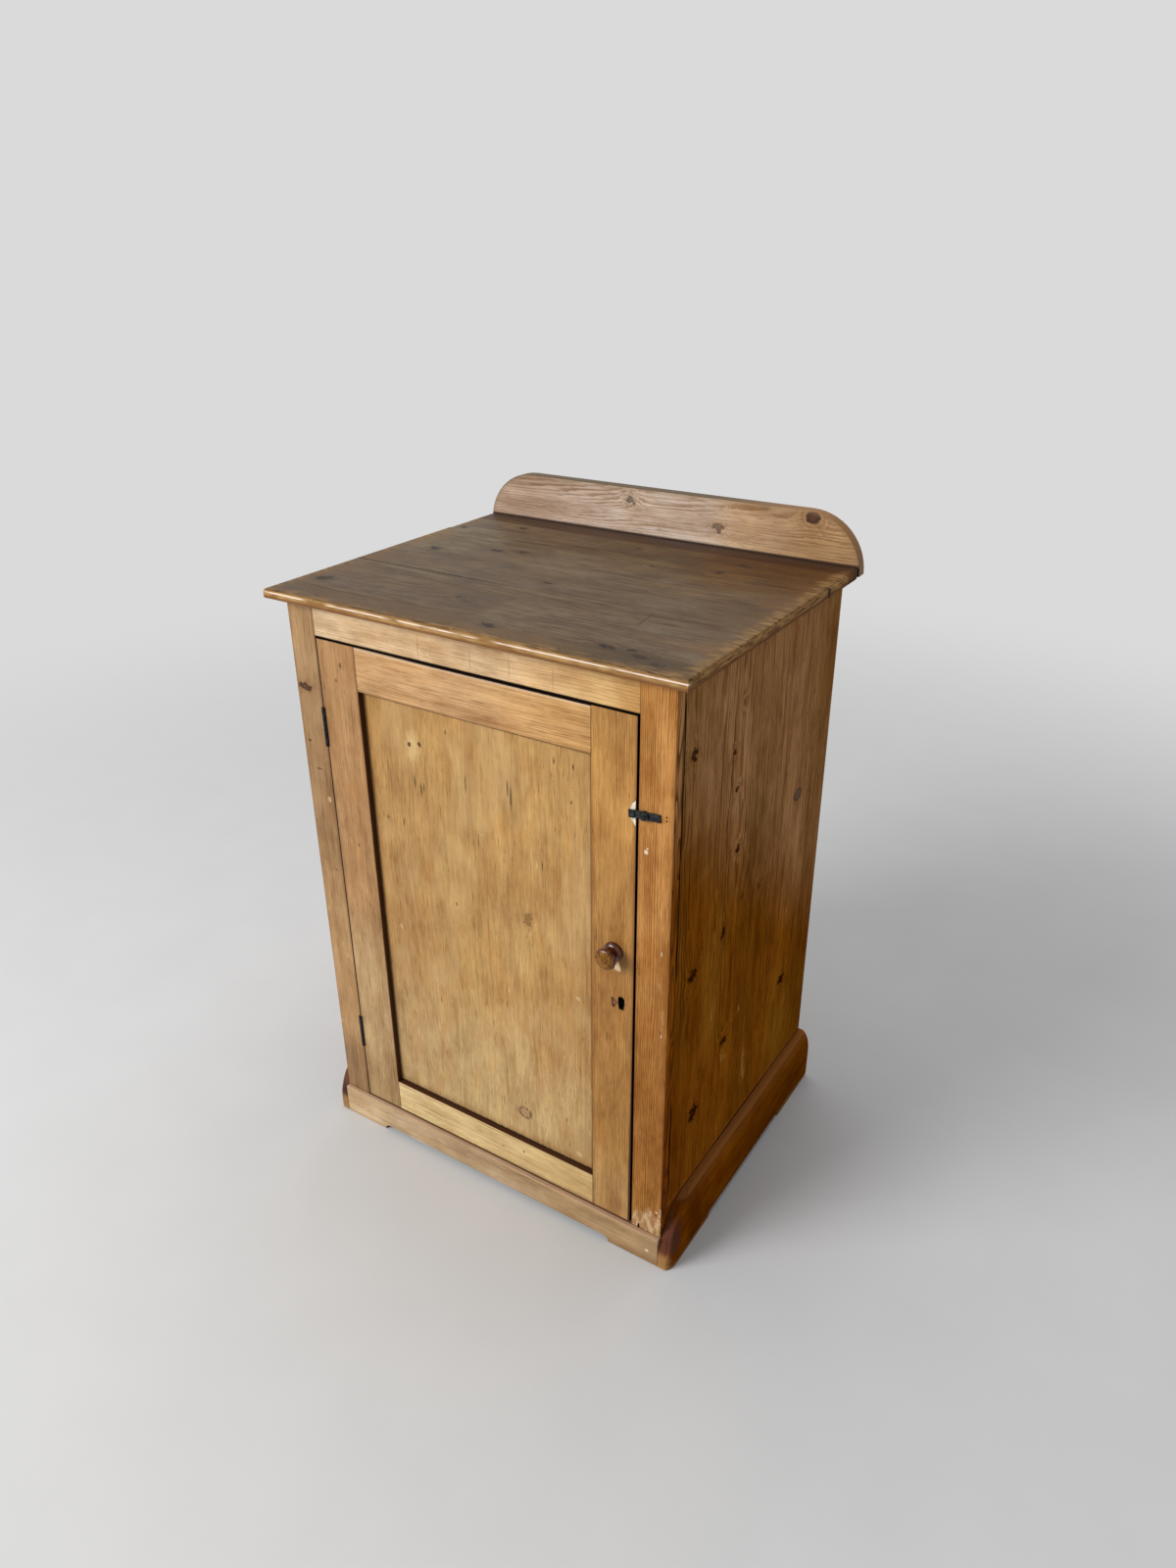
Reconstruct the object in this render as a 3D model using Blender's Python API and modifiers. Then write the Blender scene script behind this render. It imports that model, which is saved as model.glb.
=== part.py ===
"""A small pine cupboard with one panelled door, an upstand at the back and a bracket plinth.

Units are metres, +Z is up, and the front faces -Y. The origin is on the floor under the middle of
the whole cupboard. Every board, hinge leaf, screw and lock piece is an object of its own.
"""

from math import cos, pi, radians, sin

import bmesh
import bpy
from mathutils import Matrix, Vector

# Clearances and small construction values
CLEARANCE = 0.0003
OVERRUN = 0.002
MERGE_DISTANCE = 0.00001
ARRIS = 0.0006

# Carcase
CARCASE_WIDTH = 0.696
CARCASE_DEPTH = 0.569
SIDE_THICKNESS = 0.020
SIDE_FOOT_LIFT = 0.002
STOCK_THICKNESS = 0.021
REBATE_WIDTH = 0.010

# Face frame
FRAME_STILE_LEFT_WIDTH = 0.053
FRAME_STILE_RIGHT_WIDTH = 0.055
HEAD_RAIL_HEIGHT = 0.054
HEAD_TENON_LENGTH = 0.022
HEAD_TENON_THICKNESS = 0.007
HEAD_TENON_SHOULDER = 0.010

# Top and upstand
TOP_UNDERSIDE = 1.044
TOP_THICKNESS = 0.016
TOP_SIDE_OVERHANG = 0.0255
TOP_FRONT_OVERHANG = 0.0225
TOP_FRONT_BOARD_DEPTH = 0.211
TOP_BACK_BOARD_DEPTH = 0.134
TOP_NOSING_RADIUS = 0.0065
TOP_UNDER_NOSING_RADIUS = 0.0040
TOP_END_RADIUS = 0.0045
TOP_BACK_CORNER_RADIUS = 0.014
UPSTAND_HEIGHT = 0.098
UPSTAND_THICKNESS = 0.0225
UPSTAND_ARRIS = 0.0015

# Plinth
PLINTH_HEIGHT = 0.060
PLINTH_PROUD = 0.008
PLINTH_FOOT_LENGTH = 0.096
PLINTH_ARCH_RISE = 0.011
SIDE_PLINTH_HEIGHT = 0.108
SIDE_PLINTH_THICKNESS = 0.0245
SIDE_PLINTH_FOOT_LENGTH = 0.140
SIDE_PLINTH_TOP_RADIUS = 0.018
SIDE_PLINTH_NOSE_RADIUS = 0.036
SIDE_PLINTH_CORNER_RADIUS = 0.011
SIDE_PLINTH_HEEL_RADIUS = 0.004
SIDE_PLINTH_ROUND_STRETCH = 2.5

# Inside
BOTTOM_BOARD_HEIGHT = 0.072
SHELF_THICKNESS = 0.018
SHELF_SETBACK = 0.040
SHELF_HEIGHT_SHARES = (0.36, 0.68)
CLEAT_WIDTH = 0.018
CLEAT_HEIGHT = 0.028
CLEAT_SETBACK = 0.010
GLUE_BLOCK_SIZE = 0.028
BACK_BOARD_THICKNESS = 0.012
BACK_BOARD_COUNT = 5
BACK_BOARD_FOOT = 0.030
BACK_RAIL_THICKNESS = 0.018
BACK_RAIL_HEIGHT = 0.045
DOOR_STOP_LENGTH = 0.060
DOOR_STOP_THICKNESS = 0.014
DOOR_STOP_HEIGHT = 0.032
DOOR_STOP_DROP = 0.012
DOOR_STOP_INSET = 0.030

# Door
DOOR_HINGE_GAP = 0.002
DOOR_LOCK_GAP = 0.004
DOOR_HEAD_GAP = 0.0035
DOOR_FOOT_GAP = 0.0035
DOOR_STILE_HINGE_WIDTH = 0.078
DOOR_STILE_LOCK_WIDTH = 0.073
DOOR_RAIL_TOP_HEIGHT = 0.073
DOOR_RAIL_BOTTOM_HEIGHT = 0.064
PANEL_RECESS = 0.010
PANEL_THICKNESS = 0.007
PANEL_TONGUE = 0.007
GROOVE_DEPTH = 0.008
TENON_ROOT = 0.005
TENON_SHOULDER = 0.014
TENON_EXTRA_THICKNESS = 0.001

# Hinges
HINGE_LENGTH = 0.068
HINGE_INSET = 0.117
HINGE_KNUCKLES = 5
HINGE_LEAF_WIDTH = 0.0185
HINGE_LEAF_THICKNESS = 0.0015
HINGE_BARREL_RADIUS = 0.0032
HINGE_PIN_RADIUS = 0.0015
HINGE_PIN_PROUD = 0.001
HINGE_RUNNING_CLEARANCE = 0.0001
HINGE_SCREW_LENGTH = 0.016
HINGE_SCREW_ROW = 0.011
HINGE_SCREW_SPREAD = 0.021
BARREL_SIDES = 16

# Screws
SCREW_HEAD_RADIUS = 0.0033
SCREW_SHANK_RADIUS = 0.0017
SCREW_HEAD_DEPTH = 0.0016
SCREW_SLOT_WIDTH = 0.0008
SCREW_SLOT_DEPTH = 0.0007
SCREW_POINT_LENGTH = 0.004
SCREW_STEPS = 12

# Knob
KNOB_PROJECTION = 0.032
KNOB_HEAD_RADIUS = 0.0178
KNOB_HEAD_THICKNESS = 0.0155
KNOB_CROWN = 0.0075
KNOB_NECK_RADIUS = 0.0065
KNOB_FLANGE_RADIUS = 0.016
KNOB_FLANGE_THICKNESS = 0.009
KNOB_FLANGE_EDGE = 0.003
KNOB_SPIGOT_RADIUS = 0.0058
KNOB_INSET = 0.034
KNOB_ABOVE_DOOR_FOOT = 0.5378
KNOB_STEPS = 28
KNOB_ARC_STEPS = 7

# Keyhole and lock
KEYHOLE_RADIUS = 0.0058
KEYHOLE_SLOT_WIDTH = 0.009
KEYHOLE_SLOT_DROP = 0.018
KEYHOLE_INSET = 0.0205
KEYHOLE_ABOVE_DOOR_FOOT = 0.453
KEYHOLE_SIDES = 20
LOCK_PLATE_WIDTH = 0.046
LOCK_PLATE_HEIGHT = 0.054
LOCK_PLATE_THICKNESS = 0.0012
LOCK_EDGE_INSET = 0.0005
LOCK_BOX_WIDTH = 0.040
LOCK_BOX_HEIGHT = 0.036
LOCK_BOX_DEPTH = 0.009
LOCK_WALL = 0.0012
LOCK_CENTRE_DROP = 0.0015
LOCK_PIN_RADIUS = 0.0015
LOCK_SCREW_LENGTH = 0.010
LOCK_SCREW_EDGE = 0.0042
LOCK_BOLT_LENGTH = 0.030
LOCK_BOLT_HEIGHT = 0.009
LOCK_BOLT_THICKNESS = 0.0045
LOCK_BOLT_RISE = 0.0085

# Turn button
BUTTON_REACH_DOOR = 0.024
BUTTON_REACH_FRAME = 0.0247
BUTTON_WIDTH = 0.012
BUTTON_THICKNESS = 0.003
BUTTON_TIP_LENGTH = 0.0085
BUTTON_TIP_FORWARD = 0.0018
BUTTON_BOSS_RADIUS = 0.007
BUTTON_BOSS_HEIGHT = 0.0052
BUTTON_PIVOT_INSET = 0.0105
BUTTON_BELOW_DOOR_HEAD = 0.143
BUTTON_TILT_DEGREES = -3.5
BUTTON_SCREW_LENGTH = 0.022
BUTTON_SCREW_HEAD_RADIUS = 0.0042
BUTTON_SCREW_HEAD_HEIGHT = 0.0018
BUTTON_BORE_CLEARANCE = 0.0002

# Looks: linear colour, roughness, metallic
PINE_FRONT = ((0.50, 0.30, 0.13), 0.45, 0.0)
PINE_SIDE = ((0.34, 0.18, 0.07), 0.45, 0.0)
PINE_TOP = ((0.21, 0.15, 0.09), 0.50, 0.0)
PINE_INSIDE = ((0.46, 0.30, 0.15), 0.70, 0.0)
DARK_WOOD = ((0.16, 0.055, 0.02), 0.22, 0.0)
BLACK_IRON = ((0.015, 0.016, 0.018), 0.45, 0.8)
DULL_STEEL = ((0.16, 0.15, 0.14), 0.45, 0.9)

# Places that follow from the sizes
LEFT = -CARCASE_WIDTH / 2
RIGHT = CARCASE_WIDTH / 2
FRONT = (KNOB_PROJECTION - CARCASE_DEPTH - CLEARANCE - UPSTAND_THICKNESS) / 2
BACK = FRONT + CARCASE_DEPTH
STOCK_BACK = FRONT + STOCK_THICKNESS
INSIDE_FRONT = STOCK_BACK + CLEARANCE
INSIDE_BACK = BACK - BACK_BOARD_THICKNESS - CLEARANCE
INSIDE_LEFT = LEFT + SIDE_THICKNESS + CLEARANCE
INSIDE_RIGHT = RIGHT - SIDE_THICKNESS - CLEARANCE
BOARDS_TOP = TOP_UNDERSIDE - CLEARANCE
TOP_LEFT = LEFT - TOP_SIDE_OVERHANG
TOP_RIGHT = RIGHT + TOP_SIDE_OVERHANG
OPENING_LEFT = LEFT + FRAME_STILE_LEFT_WIDTH
OPENING_RIGHT = RIGHT - FRAME_STILE_RIGHT_WIDTH
OPENING_HEAD = TOP_UNDERSIDE - HEAD_RAIL_HEIGHT
DOOR_LEFT = OPENING_LEFT + DOOR_HINGE_GAP
DOOR_RIGHT = OPENING_RIGHT - DOOR_LOCK_GAP
DOOR_FOOT = PLINTH_HEIGHT + DOOR_FOOT_GAP
DOOR_HEAD = OPENING_HEAD - DOOR_HEAD_GAP
HINGE_X = OPENING_LEFT + DOOR_HINGE_GAP / 2
HINGE_Y = FRONT - HINGE_PIN_PROUD
PANEL_FRONT = FRONT + PANEL_RECESS
PANEL_BACK = PANEL_FRONT + PANEL_THICKNESS
KNOB_X = DOOR_RIGHT - KNOB_INSET
KNOB_Z = DOOR_FOOT + KNOB_ABOVE_DOOR_FOOT
KEYHOLE_X = DOOR_RIGHT - KEYHOLE_INSET
KEYHOLE_Z = DOOR_FOOT + KEYHOLE_ABOVE_DOOR_FOOT
BUTTON_X = OPENING_RIGHT + BUTTON_PIVOT_INSET
BUTTON_Z = DOOR_HEAD - BUTTON_BELOW_DOOR_HEAD


# Scene, collections and shared helpers
def clear_scene():
    for item in list(bpy.data.objects):
        bpy.data.objects.remove(item, do_unlink=True)


def new_collection(name):
    collection = bpy.data.collections.new(name)
    bpy.context.scene.collection.children.link(collection)
    return collection


clear_scene()
PARTS = new_collection("cupboard")
CUTTERS = new_collection("cupboard_cutters")


def new_empty(name, place, parent=None):
    empty = bpy.data.objects.new(name, None)
    empty.location = place
    empty.parent = parent
    PARTS.objects.link(empty)
    return empty


CUPBOARD = new_empty("cupboard_frame", (0, 0, 0))
DOOR = new_empty("door_hinge_axis", (HINGE_X, HINGE_Y, 0), CUPBOARD)


def add_part(name, mesh, place, look, parent=CUPBOARD):
    """Put a mesh in the scene as a named piece with a finish of its own."""
    item = bpy.data.objects.new(name, mesh)
    item.parent = parent
    item.location = Vector(place) - parent.location
    PARTS.objects.link(item)
    colour, roughness, metallic = look
    material = bpy.data.materials.new(name + "_finish")
    material.use_nodes = True
    shader = material.node_tree.nodes["Principled BSDF"]
    shader.inputs["Base Color"].default_value = (*colour, 1)
    shader.inputs["Roughness"].default_value = roughness
    shader.inputs["Metallic"].default_value = metallic
    mesh.materials.clear()
    mesh.materials.append(material)
    return item


def add_cutter(name, mesh, place, parent):
    cutter = bpy.data.objects.new(name, mesh)
    cutter.parent = parent
    cutter.location = Vector(place) - parent.location
    cutter.hide_render = True
    cutter.display_type = "WIRE"
    CUTTERS.objects.link(cutter)
    return cutter


def grown(span, amount):
    """A span from low to high, made longer at both ends."""
    return (span[0] - amount, span[1] + amount)


def box_mesh(name, x, y, z):
    """A box about its own centre, from the low and high value on each axis."""
    size = Vector((x[1] - x[0], y[1] - y[0], z[1] - z[0]))
    centre = Vector((x[0] + x[1], y[0] + y[1], z[0] + z[1])) / 2
    shape = bmesh.new()
    bmesh.ops.create_cube(shape, size=1)
    bmesh.ops.scale(shape, vec=size, verts=shape.verts)
    mesh = bpy.data.meshes.new(name)
    shape.to_mesh(mesh)
    shape.free()
    return mesh, centre


def round_mesh(name, length, radius, end_radius, sides):
    """A cylinder, or a cone where end_radius differs, along its own Z axis."""
    shape = bmesh.new()
    bmesh.ops.create_cone(
        shape, cap_ends=True, segments=sides, radius1=radius, radius2=end_radius, depth=length
    )
    mesh = bpy.data.meshes.new(name)
    shape.to_mesh(mesh)
    shape.free()
    mesh.shade_smooth()
    mesh.set_sharp_from_angle(angle=radians(40))
    return mesh


def ease_edges(item, width=ARRIS, segments=1):
    """Take the sharp corner off every edge."""
    bevel = item.modifiers.new("eased_edges", "BEVEL")
    bevel.width = width
    bevel.segments = segments
    bevel.limit_method = "ANGLE"
    bevel.angle_limit = radians(30)


def on_side(point, side):
    value = point["xyz".index(side[1])]
    return value > 0 if side[0] == "+" else value < 0


def round_edges(item, rounds, segments):
    """Round the named edges of a box: each is two sides, such as +x and -y, and a radius."""
    largest = max(radius for first, second, radius in rounds)
    mesh = item.data
    weights = mesh.attributes.new("bevel_weight_edge", "FLOAT", "EDGE")
    for edge in mesh.edges:
        ends = [mesh.vertices[index].co for index in edge.vertices]
        for first, second, radius in rounds:
            if all(on_side(end, first) and on_side(end, second) for end in ends):
                weights.data[edge.index].value = radius / largest
    bevel = item.modifiers.new("rounded_edges", "BEVEL")
    bevel.width = largest
    bevel.segments = segments
    bevel.limit_method = "WEIGHT"
    mesh.shade_smooth()
    mesh.set_sharp_from_angle(angle=radians(40))


def board(name, x, y, z, look=PINE_FRONT, parent=CUPBOARD, arris=ARRIS):
    mesh, centre = box_mesh(name, x, y, z)
    item = add_part(name, mesh, centre, look, parent)
    if arris:
        ease_edges(item, arris)
    return item


def boolean(item, cutter, operation):
    modifier = item.modifiers.new(cutter.name, "BOOLEAN")
    modifier.operation = operation
    modifier.solver = "EXACT"
    modifier.object = cutter


def cut_box(item, name, x, y, z):
    mesh, centre = box_mesh(name, x, y, z)
    cutter = add_cutter(name, mesh, centre, item.parent)
    boolean(item, cutter, "DIFFERENCE")
    return cutter


def join_box(item, name, x, y, z):
    mesh, centre = box_mesh(name, x, y, z)
    cutter = add_cutter(name, mesh, centre, item.parent)
    boolean(item, cutter, "UNION")
    return cutter


TURNS = {"x": (0, pi / 2, 0), "y": (pi / 2, 0, 0), "z": (0, 0, 0)}


def round_cutter(item, name, place, axis, length, radius, sides, operation="DIFFERENCE"):
    """A cylinder about place along an axis, cut from the item or joined to it."""
    cutter = add_cutter(name, round_mesh(name, length, radius, radius, sides), place, item.parent)
    cutter.rotation_euler = TURNS[axis]
    boolean(item, cutter, operation)
    return cutter


def turned_object(name, profile, steps):
    """A loose object turned about Z from a profile of radius and height, top to bottom."""
    mesh = bpy.data.meshes.new(name)
    points = [(radius, 0, height) for radius, height in profile]
    links = [(index, index + 1) for index in range(len(points) - 1)]
    mesh.from_pydata(points, links, [])
    item = bpy.data.objects.new(name, mesh)
    screw = item.modifiers.new("turned", "SCREW")
    screw.steps = steps
    screw.render_steps = steps
    screw.use_merge_vertices = True
    screw.merge_threshold = MERGE_DISTANCE
    screw.use_smooth_shade = True
    return item


def evaluated_mesh(item):
    """The mesh that a loose object's modifiers make. The object is removed."""
    PARTS.objects.link(item)
    bpy.context.view_layer.update()
    graph = bpy.context.evaluated_depsgraph_get()
    mesh = bpy.data.meshes.new_from_object(item.evaluated_get(graph))
    name = item.name
    bpy.data.objects.remove(item, do_unlink=True)
    mesh.name = name
    mesh.set_sharp_from_angle(angle=radians(40))
    return mesh


# Carcase sides, with a rebate at the back edge for the back boards
def make_sides():
    foot = PLINTH_ARCH_RISE + SIDE_FOOT_LIFT
    rebate_y = (BACK - BACK_BOARD_THICKNESS - CLEARANCE, BACK + OVERRUN)
    cut_z = (foot - OVERRUN, BOARDS_TOP + OVERRUN)
    for hand, outer, inner in (("left", LEFT, LEFT + SIDE_THICKNESS), ("right", RIGHT, RIGHT - SIDE_THICKNESS)):
        name = "side_" + hand
        side = board(name, sorted((outer, inner)), (INSIDE_FRONT, BACK), (foot, BOARDS_TOP), PINE_SIDE)
        towards_outer = -1 if hand == "left" else 1
        rebate_x = sorted((inner + towards_outer * REBATE_WIDTH, inner - towards_outer * OVERRUN))
        cut_box(side, name + "_rebate", rebate_x, rebate_y, cut_z)


# Face frame: two stiles from the plinth to the top, with the head rail tenoned between them
def make_face_frame():
    y = (FRONT, STOCK_BACK)
    stile_z = (PLINTH_HEIGHT + CLEARANCE, BOARDS_TOP)
    rail_z = (OPENING_HEAD, BOARDS_TOP)
    stile_left = board("stile_left", (LEFT, OPENING_LEFT), y, stile_z)
    stile_right = board("stile_right", (OPENING_RIGHT, RIGHT), y, stile_z)
    rail_x = (OPENING_LEFT + CLEARANCE, OPENING_RIGHT - CLEARANCE)
    rail = board("head_rail", rail_x, y, rail_z)
    tenon_y = ((FRONT + STOCK_BACK - HEAD_TENON_THICKNESS) / 2, (FRONT + STOCK_BACK + HEAD_TENON_THICKNESS) / 2)
    tenon_z = (rail_z[0] + HEAD_TENON_SHOULDER, rail_z[1] - HEAD_TENON_SHOULDER)
    mortice_y = grown(tenon_y, CLEARANCE)
    mortice_z = grown(tenon_z, CLEARANCE)
    left_end = OPENING_LEFT - HEAD_TENON_LENGTH
    right_end = OPENING_RIGHT + HEAD_TENON_LENGTH
    join_box(rail, "head_tenon_left", (left_end, rail_x[0] + TENON_ROOT), tenon_y, tenon_z)
    join_box(rail, "head_tenon_right", (rail_x[1] - TENON_ROOT, right_end), tenon_y, tenon_z)
    mortice_left = (left_end - CLEARANCE, OPENING_LEFT + OVERRUN)
    mortice_right = (OPENING_RIGHT - OVERRUN, right_end + CLEARANCE)
    cut_box(stile_left, "head_mortice_left", mortice_left, mortice_y, mortice_z)
    cut_box(stile_right, "head_mortice_right", mortice_right, mortice_y, mortice_z)
    return stile_left, stile_right


# Top of three boards, with a rounded nosing at the front and eased ends
def make_top():
    z = (TOP_UNDERSIDE, TOP_UNDERSIDE + TOP_THICKNESS)
    x = (TOP_LEFT, TOP_RIGHT)
    front_edge = FRONT - TOP_FRONT_OVERHANG
    first_seam = front_edge + TOP_FRONT_BOARD_DEPTH
    second_seam = BACK - TOP_BACK_BOARD_DEPTH
    ends = [("-x", "+z", TOP_END_RADIUS), ("+x", "+z", TOP_END_RADIUS)]
    nosing = [("-y", "+z", TOP_NOSING_RADIUS), ("-y", "-z", TOP_UNDER_NOSING_RADIUS)]
    corners = [("-x", "+y", TOP_BACK_CORNER_RADIUS), ("+x", "+y", TOP_BACK_CORNER_RADIUS)]
    boards = (
        ("top_board_front", (front_edge, first_seam - CLEARANCE), ends + nosing),
        ("top_board_middle", (first_seam, second_seam - CLEARANCE), ends),
        ("top_board_back", (second_seam, BACK), ends + corners),
    )
    for name, y, rounds in boards:
        item = board(name, x, y, z, PINE_TOP, arris=0)
        round_edges(item, rounds, segments=4)
        ease_edges(item)


# Upstand behind the top, its upper corners are quarter rounds of its whole height
def make_upstand():
    y = (BACK + CLEARANCE, BACK + CLEARANCE + UPSTAND_THICKNESS)
    z = (TOP_UNDERSIDE, TOP_UNDERSIDE + UPSTAND_HEIGHT)
    upstand = board("upstand", (TOP_LEFT, TOP_RIGHT), y, z, PINE_FRONT, arris=0)
    corner = UPSTAND_HEIGHT - UPSTAND_ARRIS
    round_edges(upstand, [("-x", "+z", corner), ("+x", "+z", corner)], segments=14)
    ease_edges(upstand, UPSTAND_ARRIS)


def side_plinth_mesh(name, x, y, rounds):
    """A side board of the plinth, worn to oval rounds that run far along it and far down."""
    stretch = SIDE_PLINTH_ROUND_STRETCH
    mesh, centre = box_mesh(name, x, [end / stretch for end in y], (0, SIDE_PLINTH_HEIGHT / stretch))
    item = bpy.data.objects.new(name, mesh)
    round_edges(item, rounds, segments=8)
    rounded = evaluated_mesh(item)
    rounded.transform(Matrix.Diagonal((1, stretch, stretch, 1)))
    centre.y *= stretch
    centre.z *= stretch
    return rounded, centre


# Plinth: a front board between two taller side boards, each with a shallow arch between feet
def make_plinth():
    front_y = FRONT - PLINTH_PROUD
    front = board("plinth_front", (LEFT, RIGHT), (front_y, STOCK_BACK), (0, PLINTH_HEIGHT))
    arch_x = (LEFT + PLINTH_FOOT_LENGTH, RIGHT - PLINTH_FOOT_LENGTH)
    arch_z = (-PLINTH_ARCH_RISE, PLINTH_ARCH_RISE)
    arch = cut_box(front, "plinth_front_arch", arch_x, (front_y - OVERRUN, STOCK_BACK + OVERRUN), arch_z)
    round_edges(arch, [("-x", "+z", PLINTH_ARCH_RISE), ("+x", "+z", PLINTH_ARCH_RISE)], segments=5)
    arch_y = (front_y + SIDE_PLINTH_FOOT_LENGTH, BACK - SIDE_PLINTH_FOOT_LENGTH)
    for hand, outward in (("left", -1), ("right", 1)):
        name = "plinth_" + hand
        inner = outward * (RIGHT + CLEARANCE)
        outer = inner + outward * SIDE_PLINTH_THICKNESS
        outer_side = "-x" if hand == "left" else "+x"
        rounds = [
            (outer_side, "+z", SIDE_PLINTH_TOP_RADIUS),
            ("-y", "+z", SIDE_PLINTH_NOSE_RADIUS),
            (outer_side, "-y", SIDE_PLINTH_CORNER_RADIUS),
            ("+y", "-z", SIDE_PLINTH_HEEL_RADIUS),
        ]
        mesh, centre = side_plinth_mesh(name, sorted((inner, outer)), (front_y, BACK), rounds)
        side = add_part(name, mesh, centre, PINE_SIDE)
        ease_edges(side)
        cut_x = grown(sorted((inner, outer)), OVERRUN)
        arch = cut_box(side, name + "_arch", cut_x, arch_y, arch_z)
        round_edges(arch, [("-y", "+z", PLINTH_ARCH_RISE), ("+y", "+z", PLINTH_ARCH_RISE)], segments=5)


# Inside: the floor, two shelves on cleats, glue blocks, the back and the door's upper stop
def make_inside():
    x = (INSIDE_LEFT, INSIDE_RIGHT)
    floor_z = (BOTTOM_BOARD_HEIGHT - SHELF_THICKNESS, BOTTOM_BOARD_HEIGHT)
    board("bottom_board", x, (INSIDE_FRONT, INSIDE_BACK), floor_z, PINE_INSIDE)
    block_end = INSIDE_FRONT + GLUE_BLOCK_SIZE
    cleats = [("bottom_cleat", floor_z[0], block_end + CLEARANCE)]
    shelf_front = INSIDE_FRONT + SHELF_SETBACK
    room = TOP_UNDERSIDE - BOTTOM_BOARD_HEIGHT
    for level, share in zip(("lower", "upper"), SHELF_HEIGHT_SHARES):
        shelf_z = BOTTOM_BOARD_HEIGHT + room * share
        span_z = (shelf_z - SHELF_THICKNESS, shelf_z)
        board("shelf_" + level, x, (shelf_front, INSIDE_BACK), span_z, PINE_INSIDE)
        cleats.append(("shelf_cleat_" + level, span_z[0], shelf_front + CLEAT_SETBACK))
    for hand, edge, inward in (("left", INSIDE_LEFT, 1), ("right", INSIDE_RIGHT, -1)):
        cleat_x = sorted((edge, edge + inward * CLEAT_WIDTH))
        for name, seat, cleat_front in cleats:
            cleat_top = seat - CLEARANCE
            cleat_z = (cleat_top - CLEAT_HEIGHT, cleat_top)
            board(name + "_" + hand, cleat_x, (cleat_front, INSIDE_BACK), cleat_z, PINE_INSIDE)
        block_x = sorted((edge, edge + inward * GLUE_BLOCK_SIZE))
        block_z = (PLINTH_ARCH_RISE + SIDE_FOOT_LIFT, floor_z[0] - CLEARANCE)
        board("glue_block_" + hand, block_x, (INSIDE_FRONT, block_end), block_z, PINE_INSIDE)
    rail_z = (BOARDS_TOP - BACK_RAIL_HEIGHT, BOARDS_TOP)
    board("back_rail", x, (INSIDE_BACK - BACK_RAIL_THICKNESS, INSIDE_BACK), rail_z, PINE_INSIDE)
    stop_right = OPENING_RIGHT - DOOR_STOP_INSET
    stop_x = (stop_right - DOOR_STOP_LENGTH, stop_right)
    stop_foot = OPENING_HEAD - DOOR_STOP_DROP
    stop_z = (stop_foot, stop_foot + DOOR_STOP_HEIGHT)
    board("door_stop", stop_x, (INSIDE_FRONT, INSIDE_FRONT + DOOR_STOP_THICKNESS), stop_z, PINE_INSIDE)


def make_back_boards():
    left = LEFT + SIDE_THICKNESS - REBATE_WIDTH + CLEARANCE
    right = RIGHT - SIDE_THICKNESS + REBATE_WIDTH - CLEARANCE
    pitch = (right - left + CLEARANCE) / BACK_BOARD_COUNT
    for index in range(BACK_BOARD_COUNT):
        start = left + index * pitch
        x = (start, start + pitch - CLEARANCE)
        y = (BACK - BACK_BOARD_THICKNESS, BACK)
        board("back_board_" + str(index + 1), x, y, (BACK_BOARD_FOOT, BOARDS_TOP), PINE_INSIDE)


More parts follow.
